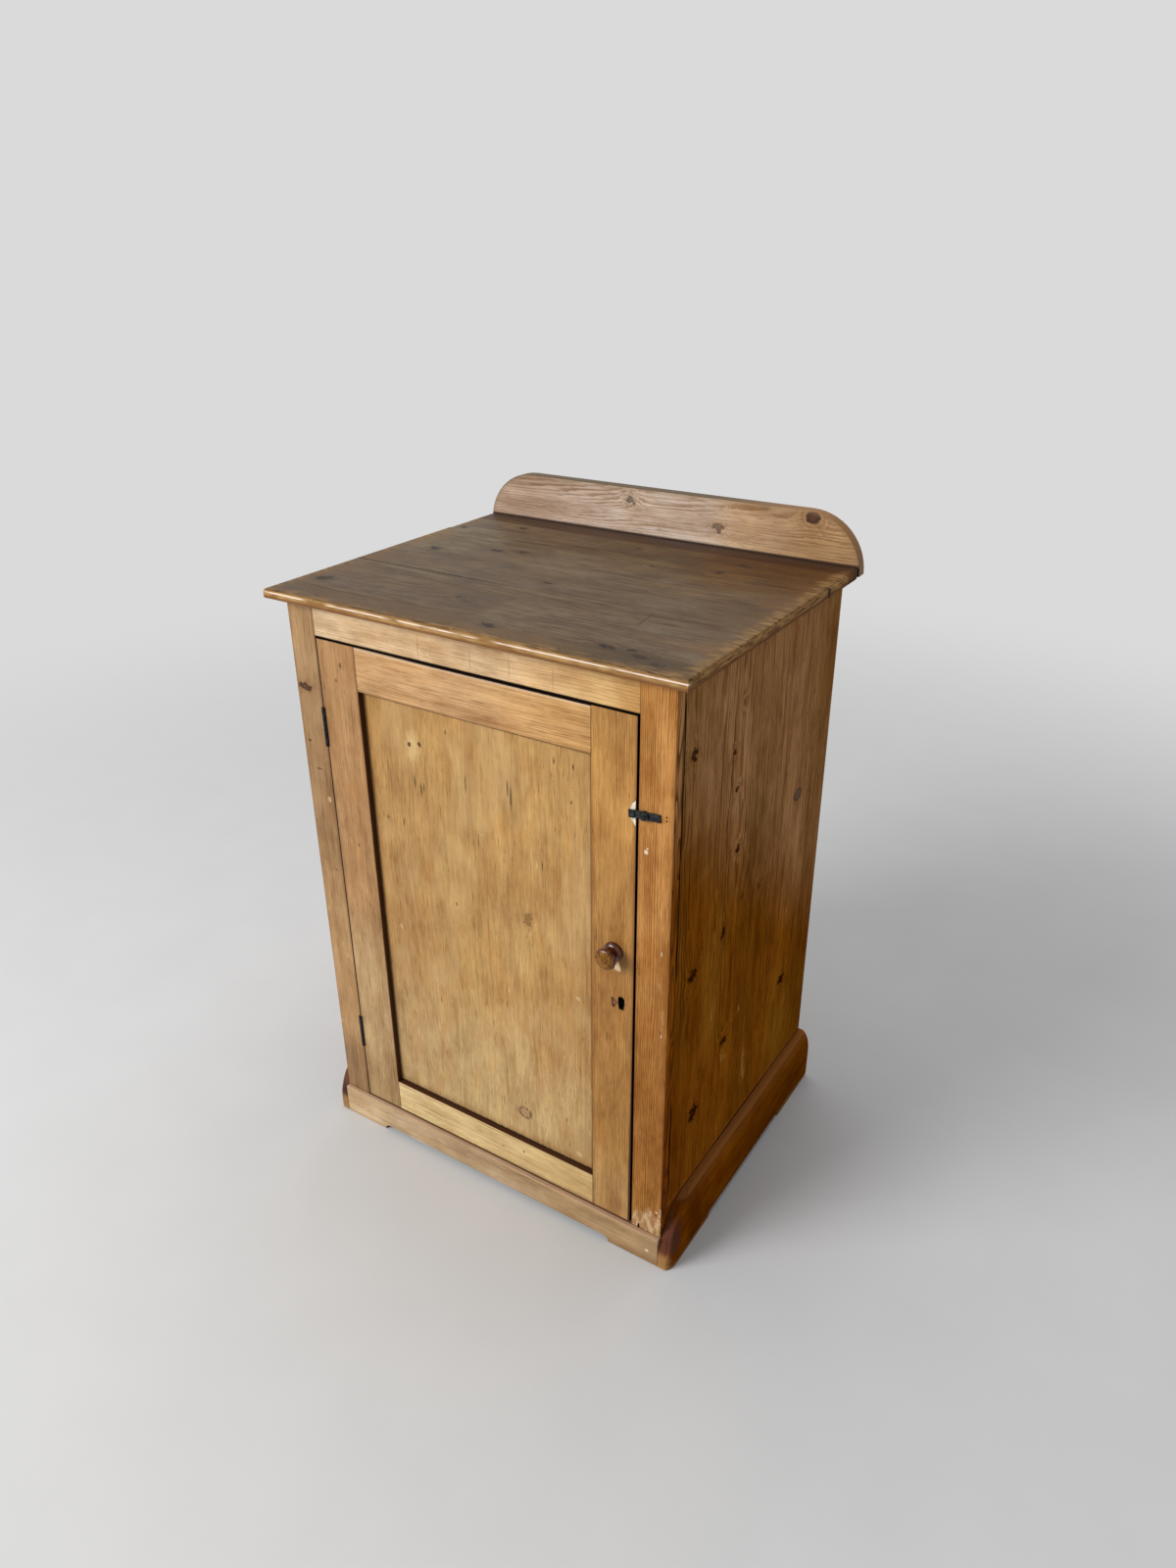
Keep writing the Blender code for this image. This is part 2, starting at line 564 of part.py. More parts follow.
# Door: rails tenoned through the stiles, with the panel held loose in a groove
def make_door():
    y = (FRONT, STOCK_BACK)
    hinge_edge = DOOR_LEFT + DOOR_STILE_HINGE_WIDTH
    lock_edge = DOOR_RIGHT - DOOR_STILE_LOCK_WIDTH
    top_rail_foot = DOOR_HEAD - DOOR_RAIL_TOP_HEIGHT
    bottom_rail_head = DOOR_FOOT + DOOR_RAIL_BOTTOM_HEIGHT
    z = (DOOR_FOOT, DOOR_HEAD)
    hinge_stile = board("door_stile_hinge", (DOOR_LEFT, hinge_edge), y, z, parent=DOOR)
    lock_stile = board("door_stile_lock", (lock_edge, DOOR_RIGHT), y, z, parent=DOOR)
    panel_y = (PANEL_FRONT, PANEL_BACK)
    groove_y = grown(panel_y, CLEARANCE)
    groove_z = (bottom_rail_head - GROOVE_DEPTH - OVERRUN, top_rail_foot + GROOVE_DEPTH + OVERRUN)
    cut_box(hinge_stile, "groove_hinge", (hinge_edge - GROOVE_DEPTH, hinge_edge + OVERRUN), groove_y, groove_z)
    cut_box(lock_stile, "groove_lock", (lock_edge - OVERRUN, lock_edge + GROOVE_DEPTH), groove_y, groove_z)
    panel_x = grown((hinge_edge, lock_edge), PANEL_TONGUE)
    panel_z = grown((bottom_rail_head, top_rail_foot), PANEL_TONGUE)
    board("door_panel", panel_x, panel_y, panel_z, parent=DOOR)

    rail_x = (hinge_edge + CLEARANCE, lock_edge - CLEARANCE)
    tenon_y = (PANEL_FRONT - TENON_EXTRA_THICKNESS, PANEL_BACK)
    mortice_y = (tenon_y[0] - CLEARANCE, tenon_y[1] + 2 * CLEARANCE)
    rails = (
        ("top", (top_rail_foot, DOOR_HEAD), (top_rail_foot + GROOVE_DEPTH, DOOR_HEAD - TENON_SHOULDER),
         (top_rail_foot - OVERRUN, top_rail_foot + GROOVE_DEPTH)),
        ("bottom", (DOOR_FOOT, bottom_rail_head), (DOOR_FOOT + TENON_SHOULDER, bottom_rail_head - GROOVE_DEPTH),
         (bottom_rail_head - GROOVE_DEPTH, bottom_rail_head + OVERRUN)),
    )
    for level, rail_z, tenon_z, rail_groove_z in rails:
        rail = board("door_rail_" + level, rail_x, y, rail_z, parent=DOOR)
        cut_box(rail, "groove_" + level, grown(rail_x, OVERRUN), groove_y, rail_groove_z)
        tenon_low = tenon_z[0] + CLEARANCE
        tenon_high = tenon_z[1] - CLEARANCE
        left_tenon = (DOOR_LEFT, rail_x[0] + TENON_ROOT)
        right_tenon = (rail_x[1] - TENON_ROOT, DOOR_RIGHT)
        join_box(rail, "tenon_hinge_" + level, left_tenon, tenon_y, (tenon_low, tenon_high))
        join_box(rail, "tenon_lock_" + level, right_tenon, tenon_y, (tenon_low, tenon_high))
        left_mortice = (DOOR_LEFT - OVERRUN, hinge_edge + OVERRUN)
        right_mortice = (lock_edge - OVERRUN, DOOR_RIGHT + OVERRUN)
        cut_box(hinge_stile, "mortice_hinge_" + level, left_mortice, mortice_y, tenon_z)
        cut_box(lock_stile, "mortice_lock_" + level, right_mortice, mortice_y, tenon_z)
    return hinge_stile, lock_stile


# Countersunk wood screw, its head at the top of its own Z axis
def screw_mesh(name, length):
    profile = [
        (0, 0),
        (SCREW_HEAD_RADIUS, 0),
        (SCREW_SHANK_RADIUS, -SCREW_HEAD_DEPTH),
        (SCREW_SHANK_RADIUS, SCREW_POINT_LENGTH - length),
        (0, -length),
    ]
    screw = turned_object(name, profile, SCREW_STEPS)
    half = SCREW_HEAD_RADIUS + OVERRUN
    slot_mesh, centre = box_mesh(
        name + "_slot",
        (-half, half),
        (-SCREW_SLOT_WIDTH / 2, SCREW_SLOT_WIDTH / 2),
        (-SCREW_SLOT_DEPTH, OVERRUN),
    )
    slot = add_cutter(name + "_slot", slot_mesh, centre, CUPBOARD)
    boolean(screw, slot, "DIFFERENCE")
    mesh = evaluated_mesh(screw)
    bpy.data.objects.remove(slot, do_unlink=True)
    return mesh


HEAD_TURNS = {"+x": (0, pi / 2, 0), "-x": (0, -pi / 2, 0), "-y": (pi / 2, 0, 0), "+y": (-pi / 2, 0, 0)}


def add_screw(name, length, place, facing, look, parent, wood):
    """A screw whose head faces a side, and the hole for it in the wood behind."""
    screw = add_part(name, screw_mesh(name, length), place, look, parent)
    screw.rotation_euler = HEAD_TURNS[facing]
    sign = 1 if facing[0] == "+" else -1
    axis = facing[1]
    depth = length + CLEARANCE
    centre = Vector(place)
    centre["xyz".index(axis)] += sign * (OVERRUN - depth) / 2
    hole_radius = SCREW_SHANK_RADIUS + CLEARANCE
    round_cutter(wood, name + "_hole", centre, axis, depth + OVERRUN, hole_radius, SCREW_STEPS)
    return screw


def countersink(plate, name, place, facing, thickness):
    """A conical hole through a plate for a countersunk head that faces a side."""
    slope = (SCREW_HEAD_RADIUS - SCREW_SHANK_RADIUS) / SCREW_HEAD_DEPTH
    depth = thickness + OVERRUN * 2
    front = SCREW_HEAD_RADIUS + CLEARANCE + slope * OVERRUN
    rear = SCREW_SHANK_RADIUS + CLEARANCE
    mesh = round_mesh(name, depth, rear, front, SCREW_STEPS)
    sign = 1 if facing[0] == "+" else -1
    centre = Vector(place)
    centre["xyz".index(facing[1])] -= sign * thickness / 2
    cutter = add_cutter(name, mesh, centre, plate.parent)
    cutter.rotation_euler = HEAD_TURNS[facing]
    boolean(plate, cutter, "DIFFERENCE")


# Butt hinges: the leaves are let in flush, and their knuckles turn on a pin in front of the gap
def make_hinge(level, centre_z, frame_stile, door_stile):
    z = (centre_z - HINGE_LENGTH / 2, centre_z + HINGE_LENGTH / 2)
    pocket_z = grown(z, CLEARANCE)
    pitch = HINGE_LENGTH / HINGE_KNUCKLES
    reach = HINGE_BARREL_RADIUS + CLEARANCE
    axis_place = (HINGE_X, HINGE_Y, centre_z)
    half_gap = DOOR_HINGE_GAP / 2
    bore_radius = HINGE_PIN_RADIUS + HINGE_RUNNING_CLEARANCE
    sides = (
        ("frame", -1, CUPBOARD, frame_stile, "+x", 1),
        ("door", 1, DOOR, door_stile, "-x", 0),
    )
    for part, outward, parent, wood, facing, first_slot in sides:
        name = "hinge_" + level + "_" + part + "_leaf"
        face = HINGE_X + outward * half_gap
        far = face + outward * HINGE_LEAF_THICKNESS
        leaf_y = (HINGE_Y, HINGE_Y + HINGE_LEAF_WIDTH)
        leaf = board(name, sorted((face, far)), leaf_y, z, BLACK_IRON, parent, arris=0)
        round_cutter(
            leaf, name + "_barrel", axis_place, "z", HINGE_LENGTH, HINGE_BARREL_RADIUS, BARREL_SIDES, "UNION"
        )
        for index in range(first_slot, HINGE_KNUCKLES, 2):
            low = z[0] + index * pitch - CLEARANCE / 2
            high = low + pitch + CLEARANCE
            slot_z = (low - OVERRUN * (index == 0), high + OVERRUN * (index == HINGE_KNUCKLES - 1))
            slot_x = grown((HINGE_X, HINGE_X), reach + OVERRUN)
            slot_y = (HINGE_Y - reach - OVERRUN, HINGE_Y + reach)
            cut_box(leaf, name + "_slot_" + str(index), slot_x, slot_y, slot_z)
        bore_length = HINGE_LENGTH + OVERRUN
        round_cutter(leaf, name + "_bore", axis_place, "z", bore_length, bore_radius, BARREL_SIDES)
        pocket_x = sorted((face - outward * OVERRUN, far + outward * CLEARANCE))
        pocket_y = (FRONT - OVERRUN, leaf_y[1] + CLEARANCE)
        cut_box(wood, name + "_pocket", pocket_x, pocket_y, pocket_z)
        relief_length = HINGE_LENGTH + 2 * CLEARANCE
        round_cutter(wood, name + "_relief", axis_place, "z", relief_length, reach, BARREL_SIDES)
        for number, offset in enumerate((-HINGE_SCREW_SPREAD, HINGE_SCREW_SPREAD), start=1):
            place = (face, HINGE_Y + HINGE_SCREW_ROW, centre_z + offset)
            screw_name = "hinge_" + level + "_" + part + "_screw_" + str(number)
            countersink(leaf, screw_name + "_sink", place, facing, HINGE_LEAF_THICKNESS)
            add_screw(screw_name, HINGE_SCREW_LENGTH, place, facing, BLACK_IRON, parent, wood)
    pin_name = "hinge_" + level + "_pin"
    pin = round_mesh(pin_name, HINGE_LENGTH, HINGE_PIN_RADIUS, HINGE_PIN_RADIUS, BARREL_SIDES)
    add_part(pin_name, pin, axis_place, BLACK_IRON)


# Turned knob with its spigot through the lock stile
def arc(centre_radius, centre_height, across, along, start, end, steps):
    """Points of an elliptic arc in the knob's profile, angles in quarter turns from the top."""
    points = []
    for index in range(steps + 1):
        angle = (start + (end - start) * index / steps) * pi / 2
        points.append((centre_radius + across * sin(angle), centre_height + along * cos(angle)))
    return points


def make_knob(lock_stile):
    head_middle = KNOB_PROJECTION - KNOB_CROWN
    head_rear = KNOB_PROJECTION - KNOB_HEAD_THICKNESS
    undercut = head_middle - head_rear
    shoulder = KNOB_HEAD_RADIUS - KNOB_NECK_RADIUS
    flange_rise = KNOB_FLANGE_THICKNESS - KNOB_FLANGE_EDGE
    flange_width = KNOB_FLANGE_RADIUS - KNOB_NECK_RADIUS
    spigot_end = CLEARANCE - STOCK_THICKNESS
    profile = arc(0, head_middle, KNOB_HEAD_RADIUS, KNOB_CROWN, 0, 1, KNOB_ARC_STEPS)
    profile += arc(KNOB_NECK_RADIUS, head_middle, shoulder, undercut, 1, 2, KNOB_ARC_STEPS)[1:]
    profile += arc(KNOB_NECK_RADIUS, KNOB_FLANGE_EDGE, flange_width, flange_rise, 0, 1, KNOB_ARC_STEPS)
    profile += [
        (KNOB_FLANGE_RADIUS, CLEARANCE),
        (KNOB_SPIGOT_RADIUS, CLEARANCE),
        (KNOB_SPIGOT_RADIUS, spigot_end),
        (0, spigot_end),
    ]
    mesh = evaluated_mesh(turned_object("knob", profile, KNOB_STEPS))
    knob = add_part("knob", mesh, (KNOB_X, FRONT, KNOB_Z), DARK_WOOD, DOOR)
    knob.rotation_euler = HEAD_TURNS["-y"]
    middle = (KNOB_X, (FRONT + STOCK_BACK) / 2, KNOB_Z)
    length = STOCK_THICKNESS + 2 * OVERRUN
    radius = KNOB_SPIGOT_RADIUS + CLEARANCE
    round_cutter(lock_stile, "knob_hole", middle, "y", length, radius, KNOB_STEPS)


# Lock on the back of the lock stile: a case with a key pin, its screws and a sliding bolt
def make_lock(lock_stile):
    middle = (KEYHOLE_X, (FRONT + STOCK_BACK) / 2, KEYHOLE_Z)
    through = STOCK_THICKNESS + 2 * OVERRUN
    round_cutter(lock_stile, "keyhole_eye", middle, "y", through, KEYHOLE_RADIUS, KEYHOLE_SIDES)
    slot_x = grown((KEYHOLE_X, KEYHOLE_X), KEYHOLE_SLOT_WIDTH / 2)
    slot_z = (KEYHOLE_Z - KEYHOLE_SLOT_DROP, KEYHOLE_Z)
    cut_box(lock_stile, "keyhole_slot", slot_x, grown((FRONT, STOCK_BACK), OVERRUN), slot_z)

    centre_z = KEYHOLE_Z - LOCK_CENTRE_DROP
    edge = DOOR_RIGHT - LOCK_EDGE_INSET
    seat = STOCK_BACK + CLEARANCE
    plate_x = (edge - LOCK_PLATE_WIDTH, edge)
    plate_z = grown((centre_z, centre_z), LOCK_PLATE_HEIGHT / 2)
    case = board("lock_case", plate_x, (seat, seat + LOCK_PLATE_THICKNESS), plate_z, DULL_STEEL, DOOR, arris=0)
    box_x = (edge - LOCK_BOX_WIDTH, edge - CLEARANCE)
    box_y = (seat + LOCK_PLATE_THICKNESS / 2, seat + LOCK_BOX_DEPTH)
    box_z = grown((centre_z, centre_z), LOCK_BOX_HEIGHT / 2)
    join_box(case, "lock_box", box_x, box_y, box_z)
    inner_x = grown(box_x, -LOCK_WALL)
    inner_back = box_y[1] - LOCK_WALL
    cut_box(case, "lock_hollow", inner_x, (seat - OVERRUN, inner_back), grown(box_z, -LOCK_WALL))
    pin_length = inner_back + LOCK_WALL / 2 - seat
    pin_place = (KEYHOLE_X, seat + pin_length / 2, KEYHOLE_Z)
    round_cutter(case, "lock_pin", pin_place, "y", pin_length, LOCK_PIN_RADIUS, SCREW_STEPS, "UNION")

    bolt_x = (box_x[1] - LOCK_BOLT_LENGTH, box_x[1])
    bolt_y = (inner_back - CLEARANCE - LOCK_BOLT_THICKNESS, inner_back - CLEARANCE)
    bolt_middle = KEYHOLE_Z + LOCK_BOLT_RISE
    bolt_z = grown((bolt_middle, bolt_middle), LOCK_BOLT_HEIGHT / 2)
    slot_x = (inner_x[1] - OVERRUN, edge + OVERRUN)
    cut_box(case, "lock_bolt_slot", slot_x, grown(bolt_y, CLEARANCE), grown(bolt_z, CLEARANCE))
    board("lock_bolt", bolt_x, bolt_y, bolt_z, DULL_STEEL, DOOR, arris=CLEARANCE)

    corner_x = (plate_x[0] + LOCK_SCREW_EDGE, plate_x[1] - LOCK_SCREW_EDGE)
    corner_z = (plate_z[0] + LOCK_SCREW_EDGE, plate_z[1] - LOCK_SCREW_EDGE)
    corners = [(x, z) for z in corner_z for x in corner_x]
    for number, (x, z) in enumerate(corners, start=1):
        name = "lock_screw_" + str(number)
        place = (x, seat + LOCK_PLATE_THICKNESS, z)
        countersink(case, name + "_sink", place, "+y", LOCK_PLATE_THICKNESS)
        add_screw(name, LOCK_SCREW_LENGTH, place, "+y", DULL_STEEL, DOOR, lock_stile)


def turn_about(item, pivot, turn):
    """Turn a piece and its cutters about a point."""
    for each in [item] + [modifier.object for modifier in item.modifiers if modifier.type == "BOOLEAN"]:
        around = Matrix.Translation(Vector(pivot) - each.parent.location)
        placed = Matrix.LocRotScale(each.location, each.rotation_euler, None)
        each.matrix_basis = around @ turn @ around.inverted() @ placed


# Turn button: an iron bar with a raised boss and a tip set forward, free to turn on its screw
def make_turn_button(stile_right):
    seat = FRONT - CLEARANCE
    pivot = (BUTTON_X, FRONT, BUTTON_Z)
    tip = BUTTON_X - BUTTON_REACH_DOOR
    bar_x = (tip + BUTTON_TIP_LENGTH - BUTTON_TIP_FORWARD, BUTTON_X + BUTTON_REACH_FRAME)
    bar_z = grown((BUTTON_Z, BUTTON_Z), BUTTON_WIDTH / 2)
    mesh, centre = box_mesh("turn_button", bar_x, (seat - BUTTON_THICKNESS, seat), bar_z)
    mesh.transform(Matrix.Translation(centre - Vector(pivot)))
    button = add_part("turn_button", mesh, pivot, BLACK_IRON)
    ease_edges(button)
    tip_y = (seat - BUTTON_THICKNESS - BUTTON_TIP_FORWARD, seat - BUTTON_TIP_FORWARD)
    tip_z = grown(bar_z, -ARRIS / 2)
    join_box(button, "button_tip", (tip, tip + BUTTON_TIP_LENGTH), tip_y, tip_z)
    boss_place = (BUTTON_X, seat - BUTTON_BOSS_HEIGHT / 2, BUTTON_Z)
    round_cutter(
        button, "button_boss", boss_place, "y", BUTTON_BOSS_HEIGHT, BUTTON_BOSS_RADIUS, BARREL_SIDES, "UNION"
    )
    bore_radius = SCREW_SHANK_RADIUS + BUTTON_BORE_CLEARANCE
    bore_length = BUTTON_BOSS_HEIGHT + 2 * OVERRUN
    round_cutter(button, "button_bore", boss_place, "y", bore_length, bore_radius, BARREL_SIDES)
    tilt = Matrix.Rotation(radians(BUTTON_TILT_DEGREES), 4, "Y")
    turn_about(button, pivot, tilt)

    head_rear = BUTTON_BOSS_HEIGHT + 2 * CLEARANCE
    head_front = head_rear + BUTTON_SCREW_HEAD_HEIGHT
    shank_end = head_rear - BUTTON_SCREW_LENGTH
    edge = BUTTON_SCREW_HEAD_HEIGHT / 2
    profile = arc(0, head_rear + edge, BUTTON_SCREW_HEAD_RADIUS, edge, 0, 1, 3)
    profile += [
        (BUTTON_SCREW_HEAD_RADIUS, head_rear),
        (SCREW_SHANK_RADIUS, head_rear),
        (SCREW_SHANK_RADIUS, shank_end + SCREW_POINT_LENGTH),
        (0, shank_end),
    ]
    screw = turned_object("turn_button_screw", profile, BARREL_SIDES)
    half = BUTTON_SCREW_HEAD_RADIUS + OVERRUN
    slot_y = grown((0, 0), SCREW_SLOT_WIDTH / 2)
    slot_z = (head_front - SCREW_SLOT_DEPTH, head_front + OVERRUN)
    slot_mesh, slot_centre = box_mesh("turn_button_screw_slot", (-half, half), slot_y, slot_z)
    slot = add_cutter("turn_button_screw_slot", slot_mesh, slot_centre, CUPBOARD)
    boolean(screw, slot, "DIFFERENCE")
    screw_part = add_part("turn_button_screw", evaluated_mesh(screw), pivot, BLACK_IRON)
    screw_part.rotation_euler = HEAD_TURNS["-y"]
    bpy.data.objects.remove(slot, do_unlink=True)
    hole_depth = CLEARANCE - shank_end
    hole_place = (BUTTON_X, FRONT + (hole_depth - OVERRUN) / 2, BUTTON_Z)
    hole_radius = SCREW_SHANK_RADIUS + CLEARANCE
    round_cutter(stile_right, "button_hole", hole_place, "y", hole_depth + OVERRUN, hole_radius, BARREL_SIDES)


def main():
    make_sides()
    frame_stile_left, frame_stile_right = make_face_frame()
    make_top()
    make_upstand()
    make_plinth()
    make_inside()
    make_back_boards()
    hinge_stile, lock_stile = make_door()
    half_hinge = HINGE_LENGTH / 2
    make_hinge("upper", DOOR_HEAD - HINGE_INSET - half_hinge, frame_stile_left, hinge_stile)
    make_hinge("lower", DOOR_FOOT + HINGE_INSET + half_hinge, frame_stile_left, hinge_stile)
    make_knob(lock_stile)
    make_lock(lock_stile)
    make_turn_button(frame_stile_right)


main()
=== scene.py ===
# %% [markdown]
# # An old pine cupboard
# Waxed pine boards, a framed door with a flat panel, a turned knob, a small iron turn button and a board that
# stands up behind the top. The packed model brings every board at its real size, so the work here is what age
# did to them: grain, wax, knots, dirt and rubbed edges.

from math import radians

import bmesh
import bpy
from mathutils import Euler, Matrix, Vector


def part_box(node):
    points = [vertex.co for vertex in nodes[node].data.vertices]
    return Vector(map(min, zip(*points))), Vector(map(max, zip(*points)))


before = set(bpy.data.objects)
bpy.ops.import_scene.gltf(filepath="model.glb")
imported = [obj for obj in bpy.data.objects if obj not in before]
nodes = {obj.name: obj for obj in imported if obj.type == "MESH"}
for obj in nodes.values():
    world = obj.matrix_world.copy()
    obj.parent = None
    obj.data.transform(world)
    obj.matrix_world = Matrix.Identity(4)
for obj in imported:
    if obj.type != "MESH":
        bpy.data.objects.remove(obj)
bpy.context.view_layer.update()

# %% [markdown]
# ## The camera
# Someone stood at the right of the cupboard and looked down at it with a wide lens, so its uprights lean
# together towards the floor. A camera fitted to the cupboard's own edges gives the same lean, which no longer
# lens from further away could.

# %% Camera
camera = bpy.data.objects.new("camera", bpy.data.cameras.new("camera"))
camera.location = (0.9627, -1.4499, 1.5674)
camera.rotation_euler = Euler((radians(63.2485), radians(0.2755), radians(32.5825)))
camera.data.sensor_fit = "VERTICAL"
camera.data.sensor_height = 36
camera.data.lens = 25.67
camera.data.clip_start = 0.01
bpy.context.scene.collection.objects.link(camera)
bpy.context.scene.camera = camera
print("camera height above the floor, m:", camera.location.z)

# %% [markdown]
# ## Values that run through a finish
# A finish made by hand in the shader editor is a web of small maths nodes. Written as sums and products it
# reads like the thing it describes, so a wire wraps one socket and each operator adds the node for it. The soft
# edges of stains and scars are slopes, which have names of their own.


# %% Wires
def adds(operation, reflected=False):
    """A method that adds one Math node. A reflected one has its wire as the last value, as in 1 - wire."""
    def method(self, *others):
        values = (*others, self) if reflected else (self, *others)
        return self.finish.node("ShaderNodeMath", {"operation": operation}, dict(enumerate(values)))
    return method


class Wire:
    """A value that runs through a finish. Sums and products of wires add Math nodes."""

    def __init__(self, finish, socket):
        self.finish = finish
        self.socket = socket

    __add__ = __radd__ = adds("ADD")
    __sub__, __rsub__ = adds("SUBTRACT"), adds("SUBTRACT", reflected=True)
    __mul__ = __rmul__ = adds("MULTIPLY")
    __truediv__, __rtruediv__ = adds("DIVIDE"), adds("DIVIDE", reflected=True)
    __pow__, __abs__ = adds("POWER"), adds("ABSOLUTE")
    least, most = adds("MINIMUM"), adds("MAXIMUM")
    fraction, wave = adds("FRACT"), adds("SINE")

    def slope(self, low, high, first, last):
        inputs = {0: self, 1: low, 2: high, 3: first, 4: last}
        return self.finish.node("ShaderNodeMapRange", {"interpolation_type": "SMOOTHSTEP"}, inputs)

    def rise(self, low, high):
        """0 below low, 1 above high and a smooth slope between them."""
        return self.slope(low, high, 0.0, 1.0)

    def fall(self, low, high):
        """1 below low, 0 above high."""
        return self.slope(low, high, 1.0, 0.0)

    def between(self, start, full, fading, end):
        """1 from full to fading, and 0 outside start and end."""
        return self.rise(start, full) * self.fall(fading, end)

    def above(self, edge, blur=0.4):
        return self.rise(edge - blur, edge + blur)

    def below(self, edge, blur=0.4):
        return self.fall(edge - blur, edge + blur)


print("a wire can:", *(name for name in vars(Wire) if name[0] != "_"))

# %% [markdown]
# ## A finish, measured as a maker measures
# Everything on the cupboard is placed in millimetres from its left front foot: to the right, back and up. The
# finish reads the surface's own place, so a pattern stays with the wood when the door swings.

# %% A finish in millimetres
LEFT_FRONT_FOOT = (-0.348, -0.2799, 0.0)
MILLIMETRES = 1000


class Finish:
    """A material, made from the surface's own place in millimetres."""

    def __init__(self, name, roughness=0.45, metallic=0.0, gloss=0.5):
        self.material = bpy.data.materials.new(name)
        self.material.use_nodes = True
        self.tree = self.material.node_tree
        self.shader = self.tree.nodes["Principled BSDF"]
        for socket, value in (("Roughness", roughness), ("Metallic", metallic), ("Specular IOR Level", gloss)):
            self.shader.inputs[socket].default_value = value
        place = self.node("ShaderNodeTexCoord", output="Object")
        out = self.node("ShaderNodeVectorMath", {"operation": "SUBTRACT"}, {0: place, 1: LEFT_FRONT_FOOT})
        self.place = self.node("ShaderNodeVectorMath", {"operation": "SCALE"}, {0: out, "Scale": MILLIMETRES})
        split = self.node("ShaderNodeSeparateXYZ", inputs={0: self.place})
        self.axes = [Wire(self, socket) for socket in split.socket.node.outputs]
        self.x, self.y, self.z = self.axes

    def node(self, kind, settings=None, inputs=None, output=0):
        """Add any node: its settings first, then the values or links of its sockets."""
        made = self.tree.nodes.new(kind)
        for name, value in (settings or {}).items():
            setattr(made, name, value)
        for name, value in (inputs or {}).items():
            if isinstance(value, Wire):
                self.tree.links.new(value.socket, made.inputs[name])
            else:
                made.inputs[name].default_value = value
        return Wire(self, made.outputs[output])

    def mix(self, share, first, second, blend="MIX"):
        settings = {"data_type": "RGBA", "blend_type": blend, "clamp_factor": True}
        colours = [(*each, 1) if isinstance(each, tuple) else each for each in (first, second)]
        return self.node("ShaderNodeMix", settings, {0: share, 6: colours[0], 7: colours[1]}, output=2)

    def clouds(self, size, seed=0.0, detail=2.0, rough=0.5):
        """Cloudy values round 0. The size of one cloud is given in millimetres along x, y and z."""
        inputs = {0: self.place, 1: tuple(1 / each for each in size), 2: (seed, seed * 0.7, -seed)}
        place = self.node("ShaderNodeVectorMath", {"operation": "MULTIPLY_ADD"}, inputs)
        inputs = {"Vector": place, "Scale": 1.0, "Detail": detail, "Roughness": rough}
        return self.node("ShaderNodeTexNoise", {"noise_dimensions": "3D"}, inputs) - 0.5

    def feed(self, name, value):
        self.tree.links.new(value.socket, self.shader.inputs[name])

    def bump(self, height, distance, strength=1.0):
        inputs = {"Strength": strength, "Distance": distance, "Height": height}
        self.feed("Normal", self.node("ShaderNodeBump", inputs=inputs))

    def put_on(self, *pieces):
        for piece in pieces:
            piece.data.materials.clear()
            piece.data.materials.append(self.material)


def shaded(colour, factor):
    """A colour times one factor, or times one factor for each channel."""
    factors = factor if isinstance(factor, tuple) else (factor, factor, factor)
    return tuple(channel * each for channel, each in zip(colour, factors))


print("a finish measures from, m:", LEFT_FRONT_FOOT)

# %% [markdown]
# ## Marks on a board
# A knot, a scar or a crack has its place across and along the grain of its board, so the same words serve a stile
# and a rail. A painted picture would blur close up. Marks of one colour share their nodes, because only the
# nearest one counts at each point.

# %% Old colours
DIRT = (0.030, 0.014, 0.007)
# GAP is black: real holes, cracks and joints, and also painted shade in gaps and recesses.
GAP = (0.010, 0.005, 0.003)
BARE = (0.66, 0.50, 0.33)
SCUFF = (0.56, 0.37, 0.18)
RAW_PINE = (0.40, 0.25, 0.12)
print("darkest colour, in the gaps:", GAP)


